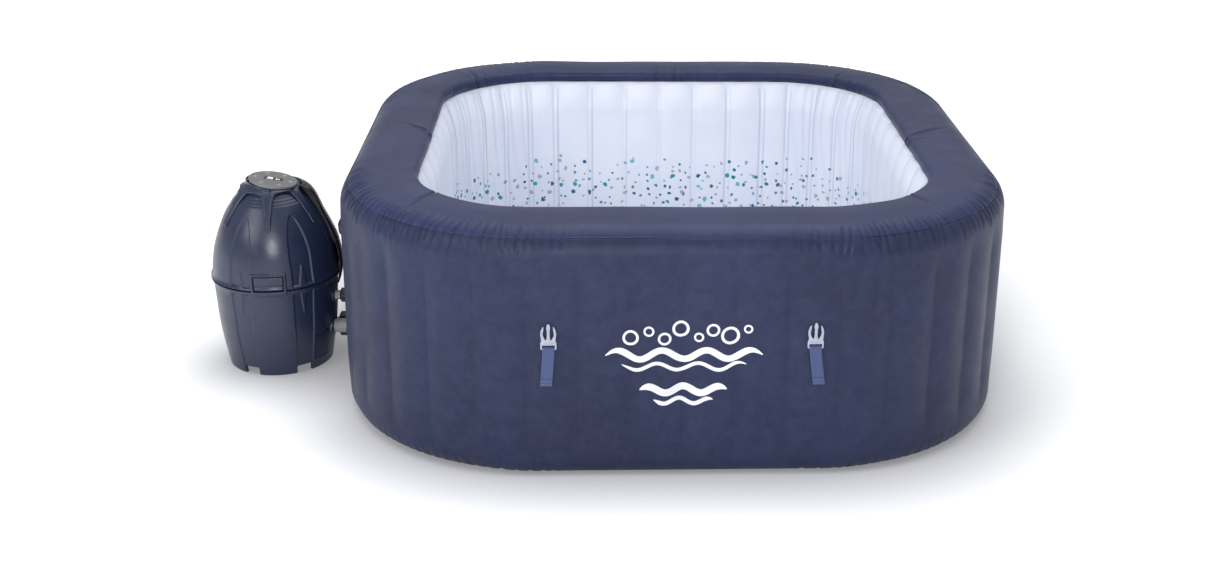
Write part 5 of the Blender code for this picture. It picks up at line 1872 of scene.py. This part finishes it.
def wall_fittings():
    for name, (y, z, radius, bore), large in (("inlet", INLET, FLANGE_R), ("outlet", OUTLET, FLANGE_R),
                                              ("air", AIR, 0.024)):
        outer, inner = -HALF, -LINER_HALF
        profile = [(bore, outer - NECK), (bore, inner + (0.012 if name != "air" else -0.002))]
        profile.append((radius, profile[-1][1]))
        if name != "air":
            profile += [(radius, inner + 0.0065), (large - 0.004, inner + 0.0055), (large, inner + 0.0035),
                        (large, inner + 0.0004)]
        profile += [(radius, outer - 0.0004), (large, outer - 0.0004), (large, outer - 0.0034),
                    (large - 0.003, outer - 0.0048),
                    (radius + 0.002, outer - 0.0050), (radius, outer - 0.0070), (radius, outer - NECK)]
        made = lathe(f"{name}_wall_fitting", profile, "black", (0, y, z), (1, 0, 0), fillet=0.0006)
        finish_piece(made, ROOT, "fitting_plastic", f"{name}_fitting")
    for name, place, at, bore, large, long in (("inlet", INLET, -0.930, 0.0212, 0.0330, 0.024),
                                               ("outlet", OUTLET, -0.966, 0.0212, 0.0365, 0.024),
                                               ("air", AIR, -0.948, 0.0150, 0.0210, 0.018)):
        half = long / 2
        profile = [(bore, half), (large - 0.006, half), (large - 0.0045, half - 0.0015),
                   (large - 0.0012, half - 0.003),
                   (large - 0.0012, 0.003 - half), (large - 0.0045, 0.0015 - half), (large - 0.006, -half),
                   (bore, -half)]
        ribs = (22 if name != "air" else 16, 0.0011, large - 0.0013)
        made = lathe(f"{name}_union_nut", profile, "black", (at, place[0], place[1]), (1, 0, 0), 264, 0.0005,
                     ribs)
        finish_piece(made, f"{name}_nut_body", "nut_plastic", f"{name}_nut")


def pipes():
    face = -HALF - NECK - 0.0004
    for name, (y, z, radius, _), end in (("inlet", INLET, PUMP_X + 0.052),
                                         ("outlet", OUTLET, PUMP_X + 0.0855)):
        long = face - end
        profile = [(0.0, long), (radius, long), (radius, long - 0.010), (radius + 0.0010, long - 0.0115),
                   (radius + 0.0010, long - 0.0135), (radius, long - 0.015), (radius, 0.0), (0.0, 0.0)]
        made = lathe(f"{name}_hose", profile, "pipe", (end, y, z), (1, 0, 0), fillet=0.0008, closed=False)
        finish_piece(made, ROOT, "pipe_plastic", f"{name}_pipe")
    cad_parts["air_pipe"].data.materials[0] = M["pipe"]


VALVE_Y, VALVE_Z = -0.345, 0.480
DRAIN_X, DRAIN_Z = -0.195, 0.085


def valves():
    wall = HALF + 0.0004
    place = (0, VALVE_Y, VALVE_Z)
    body = [(0.013, wall + 0.006), (0.018, wall + 0.006), (0.018, wall + 0.0035), (0.0265, wall + 0.0030),
            (0.028, wall + 0.0015), (0.028, wall), (0.020, wall), (0.020, wall - 0.024),
            (0.013, wall - 0.024)]
    made = lathe("inflation_valve_seat", body, "black", place, (-1, 0, 0), fillet=0.0006)
    finish_piece(made, ROOT, "valve_plastic", "inflation_valve_body")
    cap = [(0.0, 0.0172), (0.0125, 0.0176), (0.0165, 0.0180), (0.0215, 0.0150), (0.0250, 0.0080),
           (0.0255, 0.0040),
           (0.0185, 0.0040), (0.0185, 0.0066), (0.0, 0.0066)]
    made = lathe("inflation_valve_screw_cap", cap, "black", (-wall, VALVE_Y, VALVE_Z), (-1, 0, 0), 192,
                 0.0012,
                 (16, 0.0007, 0.0245), False)
    grip = plate("grip", [filleted(rectangle(0.0135, 0.0025), 0.002)],
                 0.0034, 0.0008, "black", Matrix.Translation((-wall - 0.0184, VALVE_Y, VALVE_Z))
                 @ Matrix.Rotation(math.radians(90), 4, "Y") @ Matrix.Rotation(math.radians(35), 4, "Z"))
    finish_piece(joined("inflation_valve_screw_cap", [made, grip]), "inflation_valve_cap_body",
                 "valve_plastic",
                 "inflation_valve_cap")
    inner = LINER_HALF
    drain = [(0.009, wall + 0.010), (0.012, wall + 0.010), (0.012, wall + 0.003), (0.020, wall + 0.003),
             (0.021, wall + 0.002),
             (0.021, wall), (0.012, wall), (0.012, inner), (0.019, inner), (0.019, inner - 0.003),
             (0.009, inner - 0.003)]
    made = lathe("drain_valve_seat", drain, "black", (DRAIN_X, 0, DRAIN_Z), (0, 1, 0), fillet=0.0006)
    finish_piece(made, ROOT, "valve_plastic", "drain_valve_body")
    cap = [(0.0, 0.0150), (0.0080, 0.0152), (0.0135, 0.0160), (0.0160, 0.0130), (0.0162, 0.0035),
           (0.0125, 0.0035),
           (0.0125, 0.0106), (0.0, 0.0106)]
    made = lathe("drain_screw_cap", cap, "black", (DRAIN_X, wall, DRAIN_Z), (0, 1, 0), 192, 0.0008,
                 (18, 0.0006, 0.0159),
                 False)
    finish_piece(made, "drain_valve_cap_body", "valve_plastic", "drain_valve_cap")


def filter_unit():
    """A slotted cup with a pleated cartridge inside."""
    y, z = INLET[:2]
    back = -LINER_HALF + 0.0052
    cage = [(0.0, 0.0960), (0.0540, 0.0960), (0.0585, 0.0925), (0.0590, 0.0900), (0.0590, 0.0),
            (0.0562, 0.0),
            (0.0562, 0.0900), (0.0540, 0.0932), (0.0, 0.0932)]
    made = lathe("filter_cup", cage, "pool", (back, y, z), (1, 0, 0), 128, 0.0010, closed=False)
    cutters = []
    slot = filleted(rectangle(0.0035, 0.030), 0.003)
    out = Matrix.Translation((0, 0, 0.0576)) @ Matrix.Rotation(math.radians(90), 4, "Z")
    for k in range(20):
        turn = Matrix.Rotation(2 * math.pi * k / 20, 4, "X")
        place = Matrix.Translation((back + 0.045, y, z)) @ turn @ out
        cutters.append(plate("slot", [slot], 0.012, 0.0004, "pool", place))
    for k in range(12):
        a = 2 * math.pi * k / 12
        for ring, size in ((0.018, 0.0028), (0.034, 0.0036)):
            spot = (back + 0.0946, y + ring * math.cos(a), z + ring * math.sin(a))
            cutters.append(lathe("hole", [(0, 0.006), (size, 0.006), (size, -0.006), (0, -0.006)], "pool",
                                 spot, (1, 0, 0),
                                 16, closed=False))
    cut(made, cutters)
    finish_piece(made, ROOT, "pool_plastic", "filter_cage")
    profile = [(0.024, 0.0900), (0.0505, 0.0900), (0.0505, 0.0120), (0.024, 0.0120)]
    made = lathe("filter_pleats", profile, "paper", (back, y, z), (1, 0, 0), 360, 0.0, (60, 0.0020, 0.050))
    finish_piece(made, ROOT, "filter_paper", "filter_cartridge")


def carried_over():
    """CAD pieces whose shape is already right: only their surface changes."""
    looks = {"control_board": "board", "water_pump_casing": "black", "blower_casing": "black",
             "water_pump_motor": "steel", "heater_tube": "steel", "impeller": "white", "blower_fan": "white"}
    for name, look in looks.items():
        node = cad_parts[name]
        for slot in node.material_slots:
            slot.material = M[look]


make_camera()
outer_wall()
rim_sheet()
liner()
welded_webs()
pool_floor()
base_sheet()
bubble_duct()
wall_motif()
straps_and_buckles()
pump_dome()
pump_base()
port_collars()
pump_crown()
control_panel()
buttons()
rear_spine()
latch()
intake_grille()
cord_gland()
wall_fittings()
pipes()
valves()
filter_unit()
carried_over()


# ---------------------------------------------------------------- studio

def studio():
    corners = [(x, y, 0) for x, y in rectangle(FLOOR, FLOOR)]
    floor = mesh_object("studio_floor", corners, [(0, 1, 2, 3)], "floor", smooth=False)
    world = bpy.data.worlds.new("studio")
    world.use_nodes = True
    world.node_tree.nodes["Background"].inputs["Color"].default_value = (0.95, 0.97, 1.0, 1.0)
    world.node_tree.nodes["Background"].inputs["Strength"].default_value = 0.50
    scene.world = world
    for name, at, aim, size, power in (
            ("key", (-3.6, -3.0, 3.0), (0, 0, 0.3), 2.4, 68),
            ("fill", (3.6, -2.4, 3.2), (0, 0, 0.3), 2.4, 15),
            ("softbox", (-0.62, -4.3, 1.90), (-1.134, 0, 0.4), 0.9, 56),
            ("top", (0.2, 0.9, 4.6), (0, 0.1, 0.3), 4.0, 100)):
        light = bpy.data.lights.new(name, "AREA")
        light.size = size
        light.energy = power
        lamp = bpy.data.objects.new(name, light)
        lamp.location = at
        lamp.rotation_euler = (Vector(aim) - Vector(at)).to_track_quat("-Z", "Y").to_euler()
        scene.collection.objects.link(lamp)
    scene.view_settings.view_transform = "Standard"


M["floor"] = floor_material()
studio()
